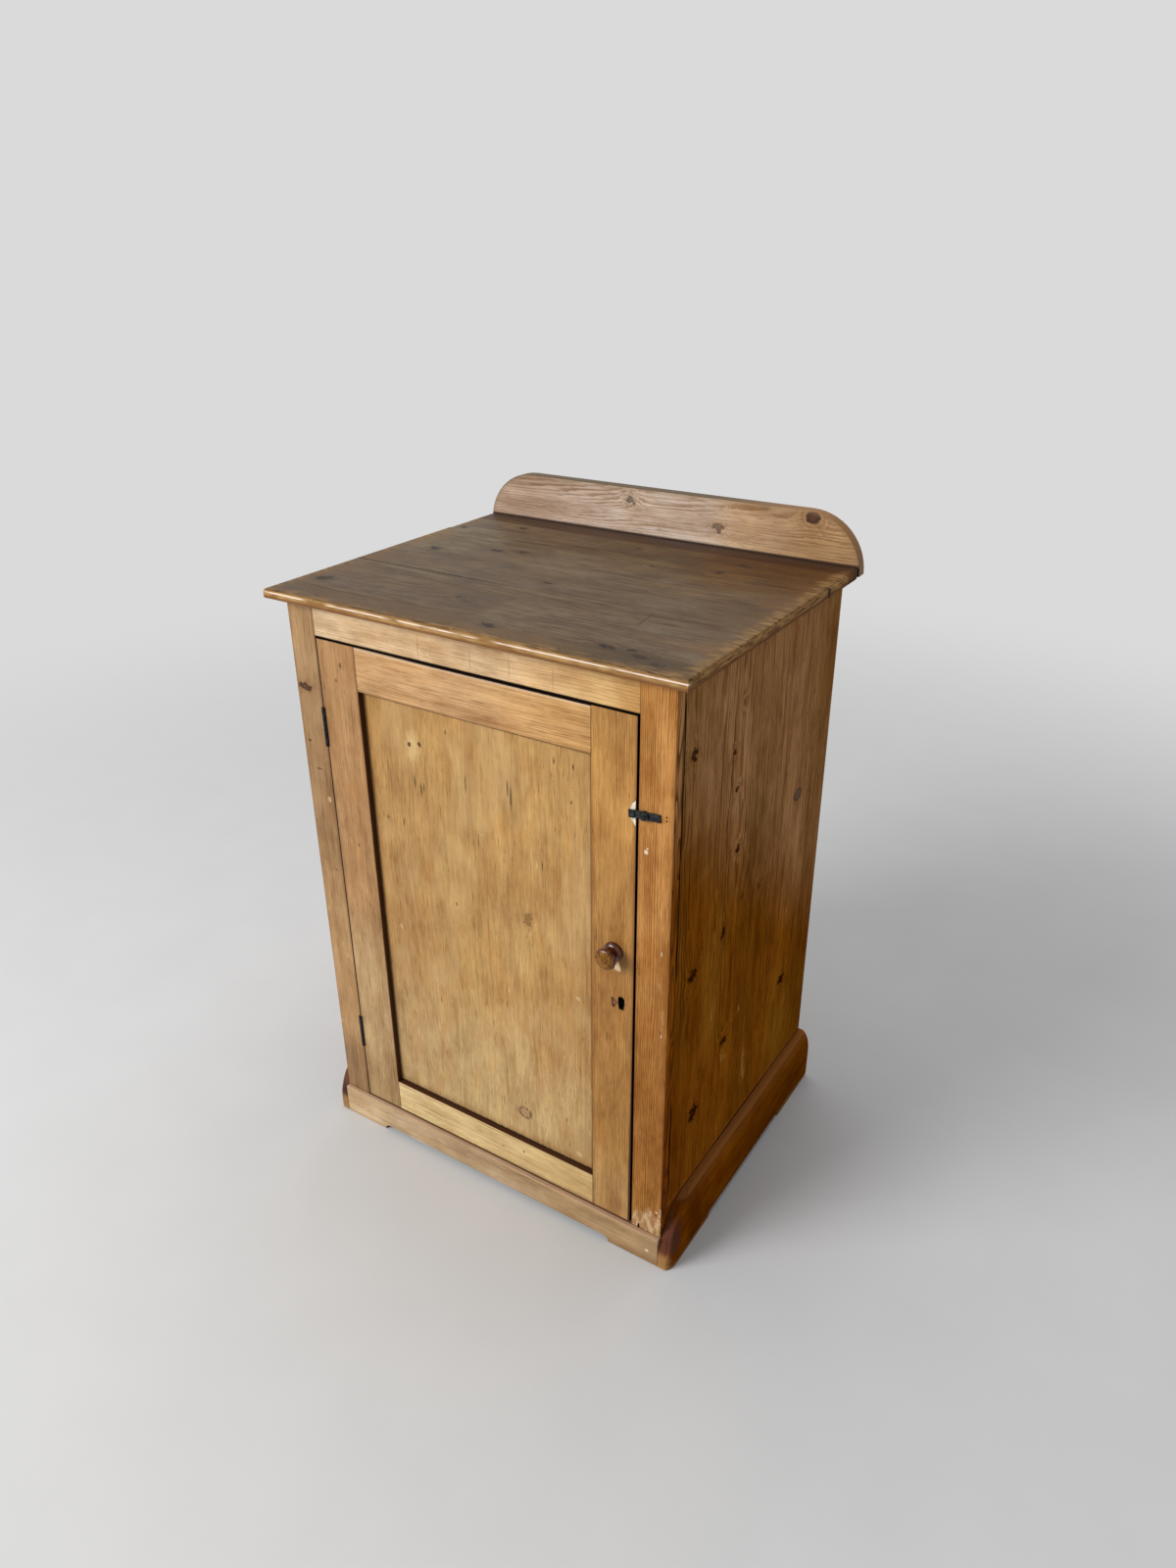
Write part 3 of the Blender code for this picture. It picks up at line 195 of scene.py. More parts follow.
# %% A board and its marks
class Board(Finish):
    """A finish that knows which way the grain of its board runs."""

    def __init__(self, node, along, across, roughness, gloss):
        super().__init__("pine " + node, roughness, gloss=gloss)
        self.node_name = node
        corner = Vector(LEFT_FRONT_FOOT)
        self.low, self.high = ((each - corner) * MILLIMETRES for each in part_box(node))
        self.grain = ["xyz".index(along), "xyz".index(across)]
        self.grain.append(({0, 1, 2} - set(self.grain)).pop())
        self.length, self.width, self.depth = (self.axes[index] for index in self.grain)
        self.depth = self.depth - self.low[self.grain[2]]
        self.seed = sum(self.low) * 0.0137
        self.fine = self.streak(3.0, 9.0, 5)
        self.wander = self.streak(90, 110, 12, detail=1)

    def streak(self, across, along, number, detail=2.0, rough=0.5):
        """Clouds that are pulled out along the grain, sized in millimetres. Each number is a new draw."""
        size = [across, across, across]
        size[self.grain[0]] = along
        return self.clouds(size, self.seed + number, detail, rough)

    def paint(self, share, colour):
        self.wood = self.mix(share, self.wood, colour)

    def tint(self, share, factor):
        """Multiply the colour, as light, wax and smoke do."""
        self.wood = self.mix(share, self.wood, factor, "MULTIPLY")

    def tone(self, wire, *steps):
        """Tints along one wire. Each grows from nothing at its start to its full strength at its end."""
        for start, end, factor in steps:
            self.tint(wire.rise(start, end), factor)

    def reach(self, across, along, half_across, half_along, ragged=0.35):
        """How far a point lies from a mark's middle, with 1 at the mark's ragged edge."""
        scale, start = [0.0, 0.0, 0.0], [0.0, 0.0, 0.0]
        for index, middle, half in zip(self.grain, (along, across), (half_along, half_across)):
            scale[index], start[index] = 1 / half, -middle / half
        inputs = {0: self.place, 1: tuple(scale), 2: tuple(start)}
        out = self.node("ShaderNodeVectorMath", {"operation": "MULTIPLY_ADD"}, inputs)
        off = self.node("ShaderNodeVectorMath", {"operation": "LENGTH"}, {0: out}, output="Value")
        return off + self.fine * (ragged * 3) if ragged else off

    def marks(self, places, colour, share=0.8, soft=0.4, ragged=0.35):
        """Marks of one colour. A place is a middle and a half size, each across and then along the grain."""
        near = self.reach(*places[0], 0)
        for place in places[1:]:
            near = near.least(self.reach(*place, 0))
        self.paint((near + self.fine * (ragged * 3)).fall(1 - soft, 1 + soft * 0.4) * share, colour)

    def mark(self, across, along, half_across, half_along, colour, share=0.8, soft=0.4, ragged=0.35):
        self.marks([(across, along, half_across, half_along)], colour, share, soft, ragged)

    def crack(self, across, start, end, width=0.7, colour=DIRT, share=0.75, bend=6.0, tip=25):
        """A thin line along the grain that wanders by the bend and thins out at its tips."""
        off = abs(self.width - across + self.wander * bend)
        within = self.length.between(start, start + tip, end - tip, end)
        self.paint(off.fall(width * 0.4, width) * within * share, colour)


print("a board can:", *(name for name in vars(Board) if name[0] != "_"))

# %% [markdown]
# ## Pine
# A pine board shows its growth rings as lines along its length: pale wood that ends in a thin dark line. Wax and
# hands have softened them here, so the lines only whisper under longer streaks and cloudy wax. A picture of wood
# would repeat. So the rings are the distance from a heart line beside the board, knots push them apart, and the
# streaks are clouds pulled out along the grain.
#
# Each board has traits: the width of a ring, how deep (heart) and how far aside its heart line lies, with lean
# and sway, and the strengths from lines to rim. A knot has a place across and along, a size, a share and a height.


# %% Pine boards
class Pine(Board):
    """The finish of one pine board."""

    TRAITS = dict(
        ring=4.0, heart=50.0, aside=95.0, lean=0.01, sway=20.0, lines=0.24, streaks=0.40, bands=0.40, cloud=1.0,
        fibres=1.0, flecks=0.35, wax=0.30, rim=0.35, roughness=0.46, gloss=0.15, knots=(),
        knot_shade=(0.52, 0.40, 0.36), knot_lumps=0.5,
    )

    def __init__(self, node, along, across, colour, **traits):
        look = {**self.TRAITS, **traits}
        super().__init__(node, along, across, look["roughness"], look["gloss"])
        self.knot_shade = look["knot_shade"]
        self.lay_rings(look)
        self.lay_colour(colour, look)
        self.draw_knots()

    def lay_rings(self, look):
        """Rings round a heart line that wanders beside the board."""
        middle = (self.low + self.high) / 2
        sway = self.streak(220, 420, 1, detail=1)
        side = self.width - (middle[self.grain[1]] + look["aside"]) + sway * look["sway"]
        heart = (self.length - middle[self.grain[0]]) * look["lean"] + look["heart"]
        rings = ((side * side + heart * heart) ** 0.5) / look["ring"]
        rings = rings + self.streak(30, 900, 2, detail=1) * 3.5 + self.streak(9, 160, 3) * 1.6
        self.near_knots = self.place_knots(look)
        for near in self.near_knots.values():
            rings = rings + 3.5 / (near * near * 0.4 + 1)
        fading = self.streak(26, 300, 4).rise(-0.16, 0.14) * 0.8 + 0.2
        self.late = rings.fraction().between(0.25, 0.88, 0.90, 1.0) * fading

    def place_knots(self, look):
        """The distance to the nearest knot, for each share that the knots have."""
        near_knots = {}
        for across, along, size, share, tall in look["knots"]:
            near = self.reach(across, along, size, size * tall, 0)
            near_knots[share] = near.least(near_knots[share]) if share in near_knots else near
        if near_knots:
            lumps = self.clouds((8, 8, 8), self.seed, detail=2) * (look["knot_lumps"] * 3) + self.fine * 0.66
        return {share: near + lumps for share, near in near_knots.items()}

    def lay_colour(self, colour, look):
        """Streaks, bands, fibres and late wood between a deep and a pale shade, then wax and dirty rims."""
        self.fibre = self.streak(2.0, 30, 6, detail=4, rough=0.65)
        self.long = self.streak(6, 150, 7)
        self.cloud = self.streak(42, 85, 8, detail=4, rough=0.62)
        flecks = self.streak(1.7, 24, 9, detail=1).rise(0.17, 0.25)
        tone = self.long * look["streaks"] * 1.5 + self.streak(24, 420, 10, detail=1) * look["bands"] * 1.5
        tone = tone + self.cloud * look["cloud"] * 1.2 + self.fibre * look["fibres"] + 0.54
        tone = tone - self.late * look["lines"] - flecks * look["flecks"]
        self.deep = shaded(colour, (0.56, 0.46, 0.36))
        self.wood = self.mix(tone, self.deep, shaded(colour, (1.36, 1.44, 1.56)))
        waxed = self.streak(34, 80, 11, detail=4, rough=0.6).rise(-0.04, 0.18) * look["wax"]
        self.tint(waxed, (0.94, 0.76, 0.52))
        self.rough = self.cloud * 0.30 - waxed * 0.10 + look["roughness"]
        self.height = self.fibre * 0.6 - self.late * 0.4 - flecks * 0.5
        low, high = self.low[self.grain[1]], self.high[self.grain[1]]
        self.edge = (self.width - low).least(high - self.width)
        self.paint((self.edge + self.long * 7).fall(0.5, 5.5) * look["rim"], shaded(self.deep, 0.75))

    def draw_knots(self, strength=1.0):
        """Each knot has a soft halo, a brown ring and a warmer heart."""
        for share, near in self.near_knots.items():
            share = share * strength
            self.paint(near.fall(0.8, 2.6) * share * 0.45, self.deep)
            self.paint(near.fall(0.70, 1.10) * share, shaded(self.deep, self.knot_shade))
            ring = near.between(0.50, 0.80, 0.85, 1.10)
            self.paint(ring * share * 0.7, shaded(self.deep, shaded(self.knot_shade, 0.5)))
            self.paint(near.fall(0.05, 0.45) * share * 0.25, self.deep)

    def finish(self):
        """Close the finish, put it on its board and say how long, wide and thick that board is."""
        self.feed("Base Color", self.wood)
        self.feed("Roughness", self.rough)
        self.bump(self.height, 0.00022, 0.6)
        self.put_on(nodes[self.node_name])
        size = self.high - self.low
        print(self.node_name, "mm:", [round(size[index], 1) for index in self.grain])


print("traits of a pine board:", len(Pine.TRAITS))

# %% [markdown]
# ## Edges and raw wood
# The edges that look into the door gap carry painted shade of the gap, black near the face, and a dirty brown
# further back, and the backs of the boards were never waxed. Separate dark pieces would stand proud of the wood,
# so all of this is found by its depth behind the face of the board.

# %% Edges and raw wood
STOCK = 21.0


def gap_shade_and_dirt(board, where=1.0, colour=GAP, until=STOCK - 1.0):
    """Edge faces in a gap: painted shade, black where they look out of the gap, and a dirty brown further back."""
    shade_then_dirt = board.mix(board.depth.rise(7, 14), colour, shaded(RAW_PINE, 0.30))
    board.paint(board.depth.between(0.3, 0.9, until, until + 0.8) * where, shade_then_dirt)


def leave_raw(board, where):
    """Wood that nobody waxed."""
    grain = board.long * 1.5 + board.fibre * 0.8 - board.late * 0.35 + 0.58
    board.paint(where, board.mix(grain, shaded(RAW_PINE, 0.70), shaded(RAW_PINE, 1.2)))
    board.rough = board.rough + where * 0.2


def raw_back(board, depth=STOCK):
    leave_raw(board, board.depth.rise(depth - 0.6, depth - 0.1))


print("stock, mm:", STOCK)

# %% [markdown]
# ## The frame round the door
# Hands and dusters kept the faces of the stiles and the head rail warm and clean. On the outer edges of the
# stiles the grain is cut at a slant, so it shows as flames, and a black crack follows the joint behind them. The
# flames are steps in a slow cloud, which gives them pointed ends, as stripes would not.

# %% Left stile
OPENING_LEFT, OPENING_RIGHT, OPENING_HEAD = 52.5, 641.8, 990.6


def flamed_edge(stile, outer, foot, waist):
    """The outer edge of a stile, where outer is 1, with flames of late wood and the joint behind them."""
    stile.paint(outer, stile.mix(stile.z.rise(200, 520), foot, waist))
    stile.paint(outer * stile.z.rise(700, 960), (0.60, 0.30, 0.110))
    figure = stile.long * 2 + stile.fibre + 0.5
    stile.tint(outer, stile.mix(figure, (0.62, 0.50, 0.40), (1.3, 1.35, 1.4)))
    flame = (stile.streak(26, 200, 25, detail=1) * 9).fraction()
    stile.paint(outer * flame.between(0.35, 0.85, 0.90, 1.0) * 0.85, (0.085, 0.026, 0.006))
    stile.paint(outer * (stile.y + stile.streak(20, 70, 26) * 6).rise(18.6, 20.0) * 0.8, GAP)


left = Pine(
    "stile_left", "z", "x", (0.3255, 0.191, 0.085), lines=0.30, aside=70, knots=((17, 898, 15, 1.0, 0.45),),
    knot_shade=(0.42, 0.38, 0.46),
)
left.tone(left.z, (620, 480, (1.18, 1.18, 1.14)), (180, 60, (0.85, 0.88, 0.95)))
left.mark(14, 145, 26, 40, (0.17, 0.105, 0.060), 0.45, soft=0.9, ragged=0.6)
left.marks(((27, 753, 6, 1.8), (13, 802, 4, 2.5), (38, 560, 1.4, 3)), shaded(DIRT, 1.6), 0.85)
scuffs = ((42, 699, 4.5, 6), (7, 470, 1.4, 5), (3, 218, 2.2, 5), (40, 379, 1.8, 5), (30, 402, 1.2, 4))
left.marks(scuffs, SCUFF, 0.7, ragged=0.5)
gap_shade_and_dirt(left, left.x.above(OPENING_LEFT, 0.3), (0.040, 0.012, 0.005))
raw_back(left)
outer_edge = left.y.rise(0.6, 1.6) * left.x.fall(1, 2)
flamed_edge(left, outer_edge, foot=(0.30, 0.145, 0.055), waist=(0.40, 0.21, 0.080))
left.finish()

# %% Right stile
right = Pine(
    "stile_right", "z", "x", (0.444, 0.208, 0.062), ring=3.2, aside=120, sway=12, lines=0.55, flecks=0.6, gloss=0.0,
    fibres=1.3,
)
right.tone(right.z, (700, 330, (0.71, 0.64, 0.55)), (250, 120, (1.12, 1.18, 1.20)))
right.marks(((654, 786, 3.4, 3.6), (656, 792, 1.4, 1.6)), shaded(BARE, 1.15), 0.95)
right.marks(((683, 626, 1.3, 4.5), (686, 477, 1.4, 4)), shaded(BARE, 1.1), 0.6)
right.marks(((679, 697, 1.8, 8), (681, 568, 1.6, 8), (688, 511, 1.0, 14)), SCUFF, 0.35, ragged=0.6)
nail_holes = ((685, 843.5, 1.5, 1.5), (685, 849.3, 1.5, 1.5))
right.marks(nail_holes, GAP, 1.0, soft=0.2, ragged=0.05)
right.mark(680.5, 843, 1.8, 5.5, (0.42, 0.13, 0.035), 0.7)
print("nail holes in the right stile:", len(nail_holes))

# %% [markdown]
# ### A worn foot
# The foot of the right stile is worn down to pale, splintery wood. The border is as ragged as the grain, so it is
# a height that clouds push up and down, and a little bump roughens the patch.

# %% Foot of the right stile
ragged_foot = right.streak(9, 18, 20, detail=3) * 80 + 24
worn = (right.z - ragged_foot + (right.x - 660) * -0.6).fall(58, 84)
splinters = right.streak(7, 18, 21, detail=3) * 4 + 0.55
right.paint(worn * 0.85, right.mix(splinters, (0.34, 0.18, 0.075), (0.60, 0.42, 0.235)))
right.paint(worn * right.streak(2.6, 16, 23).rise(0.10, 0.2) * 0.7, (0.16, 0.075, 0.022))
right.mark(654.6, 62, 2.2, 9, GAP, 1.0, soft=0.2, ragged=0.1)
chips = ((688, 113, 3.5, 2.6), (691, 96, 2.6, 3), (676, 108, 3, 1.4))
right.marks(chips, (0.74, 0.50, 0.28), 0.65, ragged=0.6)
right.mark(687, 105, 3.6, 5, (0.27, 0.085, 0.025), 0.8, ragged=0.6)
right.height = right.height + worn * right.streak(5, 7, 22, detail=3) * 6
gap_shade_and_dirt(right, right.x.below(OPENING_RIGHT))
outer_edge = right.y.rise(0.6, 1.6) * right.x.rise(694, 695)
flamed_edge(right, outer_edge, foot=(0.25, 0.058, 0.006), waist=(0.32, 0.094, 0.007))
right.finish()

# %% Head rail
head = Pine("head_rail", "x", "z", (0.594, 0.409, 0.229), lines=0.22, flecks=0.2, cloud=1.1, rim=0.1)
head.tone(head.x, (330, 640, (0.93, 0.82, 0.55)), (150, 60, (0.88, 0.90, 0.92)), (590, 625, (0.85, 0.76, 0.66)))
RAIL_MIDDLE, LINE_HALF = 1012, 21
line_brown = (0.30, 0.14, 0.045)
head.mark(RAIL_MIDDLE, 264, LINE_HALF, 1.4, line_brown, 0.6, soft=0.8)
head.marks([(RAIL_MIDDLE, along, LINE_HALF, 1.8) for along in (360, 429, 503)], line_brown, 0.4, soft=0.8)
dents = ((1034, 217), (1031, 286), (1004, 282), (1006, 266))
head.marks([(across, along, 2.0, 2.6) for across, along in dents], BARE, 0.65)
gap_shade_and_dirt(head, head.z.below(OPENING_HEAD))
# Painted shade: the lowest edge of the rail's face is painted black, so the gap over the door reads wider.
head.paint((head.z + head.fine).fall(991.2, 992.4) * 0.9, GAP)
raw_back(head)
head.finish()
print("opening, mm:", round(OPENING_RIGHT - OPENING_LEFT, 1), "wide")

# %% [markdown]
# ## The door
# The door is a frame of four boards with a thin flat panel. Dirt and painted shade darken the corner where they
# stand proud of it. That corner is found by its depth, like the gap edges, so it holds from every side, which a
# shadow painted at one place on the panel would not.

# %% Door edges and hinge stile
# Red brown of the recess where the frame stands proud of the panel: dirt and painted shade.
RECESS_DIRT_AND_SHADE = (0.060, 0.020, 0.007)
PANEL_DEPTH = 10.0
PANEL_LEFT, PANEL_RIGHT, PANEL_FOOT, PANEL_HEAD = 131.9, 564.0, 126.4, 914.4


def door_edges(board, inner):
    """Black outside edges as painted gap shade, and red brown ones of dirt and painted shade that look onto the
    panel.
    """
    gap_shade_and_dirt(board)
    board.paint(board.depth.between(0.8, 1.8, PANEL_DEPTH - 1.5, PANEL_DEPTH) * inner, RECESS_DIRT_AND_SHADE)
    raw_back(board)
    board.finish()


hinge_stile = Pine("door_stile_hinge", "z", "x", (0.356, 0.191, 0.076), lines=0.25, aside=80)
hinge_stile.tone(hinge_stile.z, (560, 330, (1.20, 1.45, 1.70)), (240, 90, (0.82, 0.80, 0.74)))
hinge_stile.marks(((101, 950, 3.5, 5.5), (89, 923, 2.5, 4), (99, 628, 2.5, 4)), shaded(DIRT, 1.5), 0.65)
specks = ((62, 905, 1.6, 2.6), (96, 941, 1.6, 2.6), (80, 642, 1.6, 2.6), (70, 300, 1.6, 2.6))
hinge_stile.marks(specks, shaded(DIRT, 1.5), 0.4)
hinge_stile.paint(hinge_stile.x.fall(55.0, 57.5) * 0.35, (0.62, 0.42, 0.27))
door_edges(hinge_stile, hinge_stile.x.above(PANEL_LEFT))

# %% Lock stile
lock_stile = Pine(
    "door_stile_lock", "z", "x", (0.471, 0.239, 0.065), ring=3.0, aside=-110, sway=14, lines=0.40, cloud=1.1,
    fibres=1.2,
)
x, _, z = lock_stile.axes
lock_stile.tint(z.fall(60, 620) * 0.75, (0.76, 0.72, 0.66))
lock_stile.tone(z, (880, 740, (0.80, 0.77, 0.76)), (915, 975, (0.86, 0.86, 0.88)))
lock_stile.tone(z, (400, 300, (1.14, 1.20, 1.20)), (240, 90, (1.10, 1.24, 1.70)))
lock_stile.paint((x + lock_stile.long * 8).rise(632.5, 635.5) * 0.5, (0.22, 0.085, 0.028))
# Painted shade of the gap: a black line along the lock edge, widening towards the foot.
widening_to_foot = z.fall(60, 520) * 3.5
split = (x + widening_to_foot + lock_stile.fine).rise(636.2, 637.0) * z.fall(480, 560)
lock_stile.paint(split * 0.85, DIRT)
lock_stile.mark(598, 345, 4, 5, DIRT, 0.25, soft=0.8)
lock_stile.marks(((591, 437, 2.0, 11), (572, 620, 1.2, 18), (577, 655, 1, 10)), DIRT, 0.4)
print("lock stile ends at, mm:", round(lock_stile.high[0], 1))

# %% [markdown]
# ### Where iron and fingers touched
# The tip of the iron turn button has scraped a crescent down to bare wood. There is a bare patch below the knob,
# where a finger goes, and old nail holes stand beside the keyhole. The crescent is the distance from the
# button's screw, so it fits the button's real swing.

# %% Scars of the lock stile
BUTTON_X, BUTTON_Z, BUTTON_REACH = 651.5, 842.5, 24.2
off_screw = ((x - BUTTON_X) ** 2.0 + (z - BUTTON_Z) ** 2.0) ** 0.5
on_the_door = (x + lock_stile.fine * 3).fall(635.6, 636.4)
scraped = (off_screw + lock_stile.fine * 5).fall(BUTTON_REACH, BUTTON_REACH + 1) * on_the_door
outlined = (off_screw + lock_stile.fine * 4).fall(BUTTON_REACH + 1, BUTTON_REACH + 2.2)
lock_stile.paint(outlined * (z * -1 - x).fall(-1494, -1482) * 0.8, shaded(DIRT, 1.3))
torn = lock_stile.streak(2.5, 12, 31) * 4 + 0.55
lock_stile.paint(scraped, lock_stile.mix(torn, (0.52, 0.43, 0.31), (0.80, 0.72, 0.58)))
lock_stile.height = lock_stile.height - scraped * 2.5
lock_stile.mark(609.0, 575, 5.4, 8.5, (0.80, 0.62, 0.36), 0.95, ragged=0.5)
lock_stile.mark(603.0, 507, 5.2, 9.5, (0.085, 0.028, 0.012), 0.85, ragged=0.5)
lock_stile.mark(604.5, 508, 1.8, 2.4, (0.30, 0.150, 0.080), 0.8, ragged=0.4)
lock_stile.marks(((600.5, 514, 2.4, 2.6), (602.5, 501, 2.4, 2.6)), GAP, 0.85, ragged=0.3)
around_keyhole = lock_stile.reach(616.5, 510.5, 5.9, 11.9, 0.10)
lock_stile.paint(around_keyhole.fall(1.0, 1.5) * 0.5, (0.16, 0.070, 0.025))
# Painted shade: the keyhole's rim and its walls are painted black.
lock_stile.paint(around_keyhole.fall(0.92, 1.04), GAP)
lock_stile.paint(lock_stile.depth.rise(0.4, 1.4) * around_keyhole.fall(1.2, 1.5), GAP)
door_edges(lock_stile, x.below(PANEL_RIGHT))

# %% Door rails
upper = Pine("door_rail_top", "x", "z", (0.494, 0.288, 0.127), lines=0.35, streaks=0.6, flecks=0.3)
upper.tone(upper.x, (330, 540, (1.06, 1.01, 0.84)))
upper.mark(948, 370, 1.4, 16, DIRT, 0.5)
upper.mark(930, 300, 1.0, 12, DIRT, 0.30)
# The worn top arris of the door, with a painted highlight on it.
upper.paint(upper.z.rise(981.0, 983.0) * 0.5, (0.70, 0.50, 0.33))
# Painted shade: the top of the door's face is painted black where it looks into the head gap.
upper.paint((upper.z + upper.fine).rise(984.6, 985.6) * upper.x.rise(90, 300), GAP)
door_edges(upper, upper.z.below(PANEL_HEAD))

lower = Pine(
    "door_rail_bottom", "x", "z", (0.655, 0.484, 0.232), lines=0.25, streaks=0.45, flecks=0.3, wax=0.2,
)
lower.tone(lower.x, (200, 560, (0.80, 0.72, 0.62)))
lower.mark(105, 421, 3.2, 1.6, DIRT, 0.95)
lower.mark(96, 376, 1.6, 1.3, DIRT, 0.7)
lower.paint(lower.z.rise(122, 127) * 0.35, (0.66, 0.46, 0.22))
door_edges(lower, lower.z.above(PANEL_FOOT))
print("panel opening, mm:", round(PANEL_RIGHT - PANEL_LEFT, 1), "by", round(PANEL_HEAD - PANEL_FOOT, 1))

# %% [markdown]
# ### The panel
# The panel has faded to an olive gold in drifts. It has a branch stub near its foot, dark ticks, pale chips, and
# brown dirt and painted shade along its rims. The drifts are slopes and clouds that tint the wood, and the marks
# come from lists of places, which stay sharp from close by.

# %% Panel board and its drifts
panel = Pine(
    "door_panel", "z", "x", (0.445, 0.255, 0.085), ring=6.0, heart=120, aside=60, sway=34, lines=0.16, streaks=0.30,
    bands=0.25, cloud=0.9, fibres=1.15, flecks=0.6, wax=0.40, rim=0.0,
    knots=((439, 595, 10, 0.6, 1.0),), knot_lumps=1.3, knot_shade=(0.62, 0.60, 0.66),
)
x, _, z = panel.axes
panel.tone(x, (330, 160, (0.88, 0.86, 0.88)))
panel.tone(z, (480, 180, (1.14, 1.34, 1.76)))
panel.tint(x.rise(460, 530) * z.fall(480, 640), (0.91, 0.87, 0.83))
panel.tint(x.rise(460, 530) * z.fall(170, 320), (0.84, 0.79, 0.72))
panel.tint(x.between(230, 290, 320, 370) * z.fall(700, 860), (0.93, 0.95, 0.94))
panel.tint(panel.reach(410, 540, 50, 90, 0).fall(0.3, 1.2), (1.09, 1.17, 1.26))
panel.tint(x.fall(160, 330) * z.rise(760, 900), (0.93, 0.90, 0.82))
panel.paint(panel.streak(75, 150, 30).rise(-0.02, 0.14) * 0.30, (0.56, 0.38, 0.175))
panel.paint(panel.streak(40, 150, 31, detail=4, rough=0.6).rise(0.04, 0.2) * 0.35, (0.34, 0.165, 0.055))
combed = (panel.streak(60, 26, 32, detail=3) * 26 + x * 0.09).fraction().between(0.2, 0.8, 0.85, 1.0)
panel.paint(combed * panel.streak(50, 90, 33).rise(0.02, 0.16) * 0.28, (0.30, 0.145, 0.05))
panel.mark(228, 838, 16, 32, (0.64, 0.45, 0.20), 0.65, soft=0.7)
print("nodes of the panel so far:", len(panel.tree.nodes))

# %% Marks on the panel
branch = panel.reach(420, 187, 14, 12, 0.30)
panel.paint(branch.fall(0.7, 1.1) * 0.55, (0.36, 0.21, 0.11))
panel.paint(branch.between(0.45, 0.9, 0.95, 1.25) * (panel.fine * 3 + 0.7), (0.13, 0.062, 0.030))
panel.paint(branch.fall(0.15, 0.5) * 0.4, (0.20, 0.105, 0.05))
panel.marks(((222, 841, 4.2, 4.6), (243, 846, 4.2, 4.6)), (0.085, 0.038, 0.018), 0.95, ragged=0.3)
dark_ticks = (
    (163, 696, 2.4, 4.0), (297, 879, 1.8, 4.0), (495, 882, 1.8, 6), (528, 880, 1.7, 5), (524, 823, 1.8, 4),
    (297, 573, 2.0, 4.5), (228, 777, 1.8, 13), (240, 768, 2.0, 16), (246, 772, 1.4, 10), (416, 801, 2.4, 22),
    (410, 815, 1.5, 14), (197, 697, 1.5, 9), (350, 706, 1.2, 16), (470, 700, 1.2, 10), (330, 800, 1.2, 18),
)
panel.marks(dark_ticks, DIRT, 0.75, soft=0.6)
pale_chips = ((396, 440, 1.6, 8), (532, 478, 5, 4), (460, 700, 1.5, 9), (531, 149, 6, 5), (170, 484, 4, 4))
panel.marks(pale_chips, (0.70, 0.52, 0.29), 0.4, ragged=0.9)
print("dark ticks:", len(dark_ticks), "pale chips:", len(pale_chips))

# %% Rims of the panel
RIM_DIRT_AND_SHADE = (0.13, 0.055, 0.020)
# The rims are darker where the frame stands proud: brown dirt, and painted shade in the corner of the recess.
crumbly = panel.fine * 8
panel.paint((z + crumbly).fall(128.5, 133.5) * 0.85, shaded(RECESS_DIRT_AND_SHADE, 0.6))
panel.paint((z + panel.cloud * 30).fall(130, 150) * 0.40, (0.24, 0.115, 0.04))
panel.paint((z + crumbly * 0.4).fall(129.0, 131.5) * 0.9, GAP)
stain = panel.streak(14, 70, 34, detail=3).rise(0.08, 0.2) * (z + x * 0.6).rise(760, 980)
panel.paint(stain * 0.35, (0.27, 0.125, 0.035))
panel.paint((x + crumbly * 0.4).fall(133.5, 138.5) * 0.75, RECESS_DIRT_AND_SHADE)
panel.paint((x + crumbly * 0.2).rise(555.0, 556.8) * 0.8, RIM_DIRT_AND_SHADE)
panel.paint((z + crumbly * 0.3).rise(905.6, 907.8) * 0.7, RIM_DIRT_AND_SHADE)
raw_back(panel, panel.high[1] - panel.low[1])
panel.finish()

# %% [markdown]
# ## The sides
# The sides are dark gold below and a paler pink brown above, which is a painted sheen, with an open crack along
# the joint to the stile, black knots and pale flecks. The sheen fades out along a slanting line, so one measure
# that mixes height and depth drives it. The photograph shows the right side only, so the left one has the same
# marks, milder in colour.

# %% Places on the sides
SIDE_KNOTS = (
    (51, 925, 10, 0.95, 0.9), (182, 878, 5, 0.95, 1.0), (198, 811, 5, 0.95, 1.1), (213, 699, 7, 0.95, 0.8),
    (176, 566, 9, 0.95, 1.1), (76, 547, 12, 0.95, 0.8), (444, 307, 12, 0.95, 0.8), (205, 332, 10, 0.95, 0.7),
    (101, 255, 14, 0.95, 0.9), (208, 947, 4, 0.45, 1.0), (242, 599, 4, 0.45, 1.2), (308, 584, 5, 0.45, 1.2),
)
SIDE_FLECKS = (
    (138, 972, 3, 8), (151, 420, 2.5, 22), (200, 300, 4, 12), (258, 364, 4, 9), (292, 215, 5, 38),
    (197, 699, 2.6, 3), (181, 872, 2.5, 2), (215, 290, 3, 5), (300, 190, 4, 16), (420, 820, 3, 2),
    (440, 460, 2, 8),
)
BENT_CRACKS = ((40, 440, 850, 30), (48, 440, 700, 34), (175, 480, 950, 22), (184, 380, 620, 30))
FAINT_CRACKS = (
    (62, 130, 520), (118, 300, 980), (236, 180, 820), (278, 140, 640), (384, 300, 930), (506, 150, 700),
)
print("knots:", len(SIDE_KNOTS), "flecks:", len(SIDE_FLECKS))
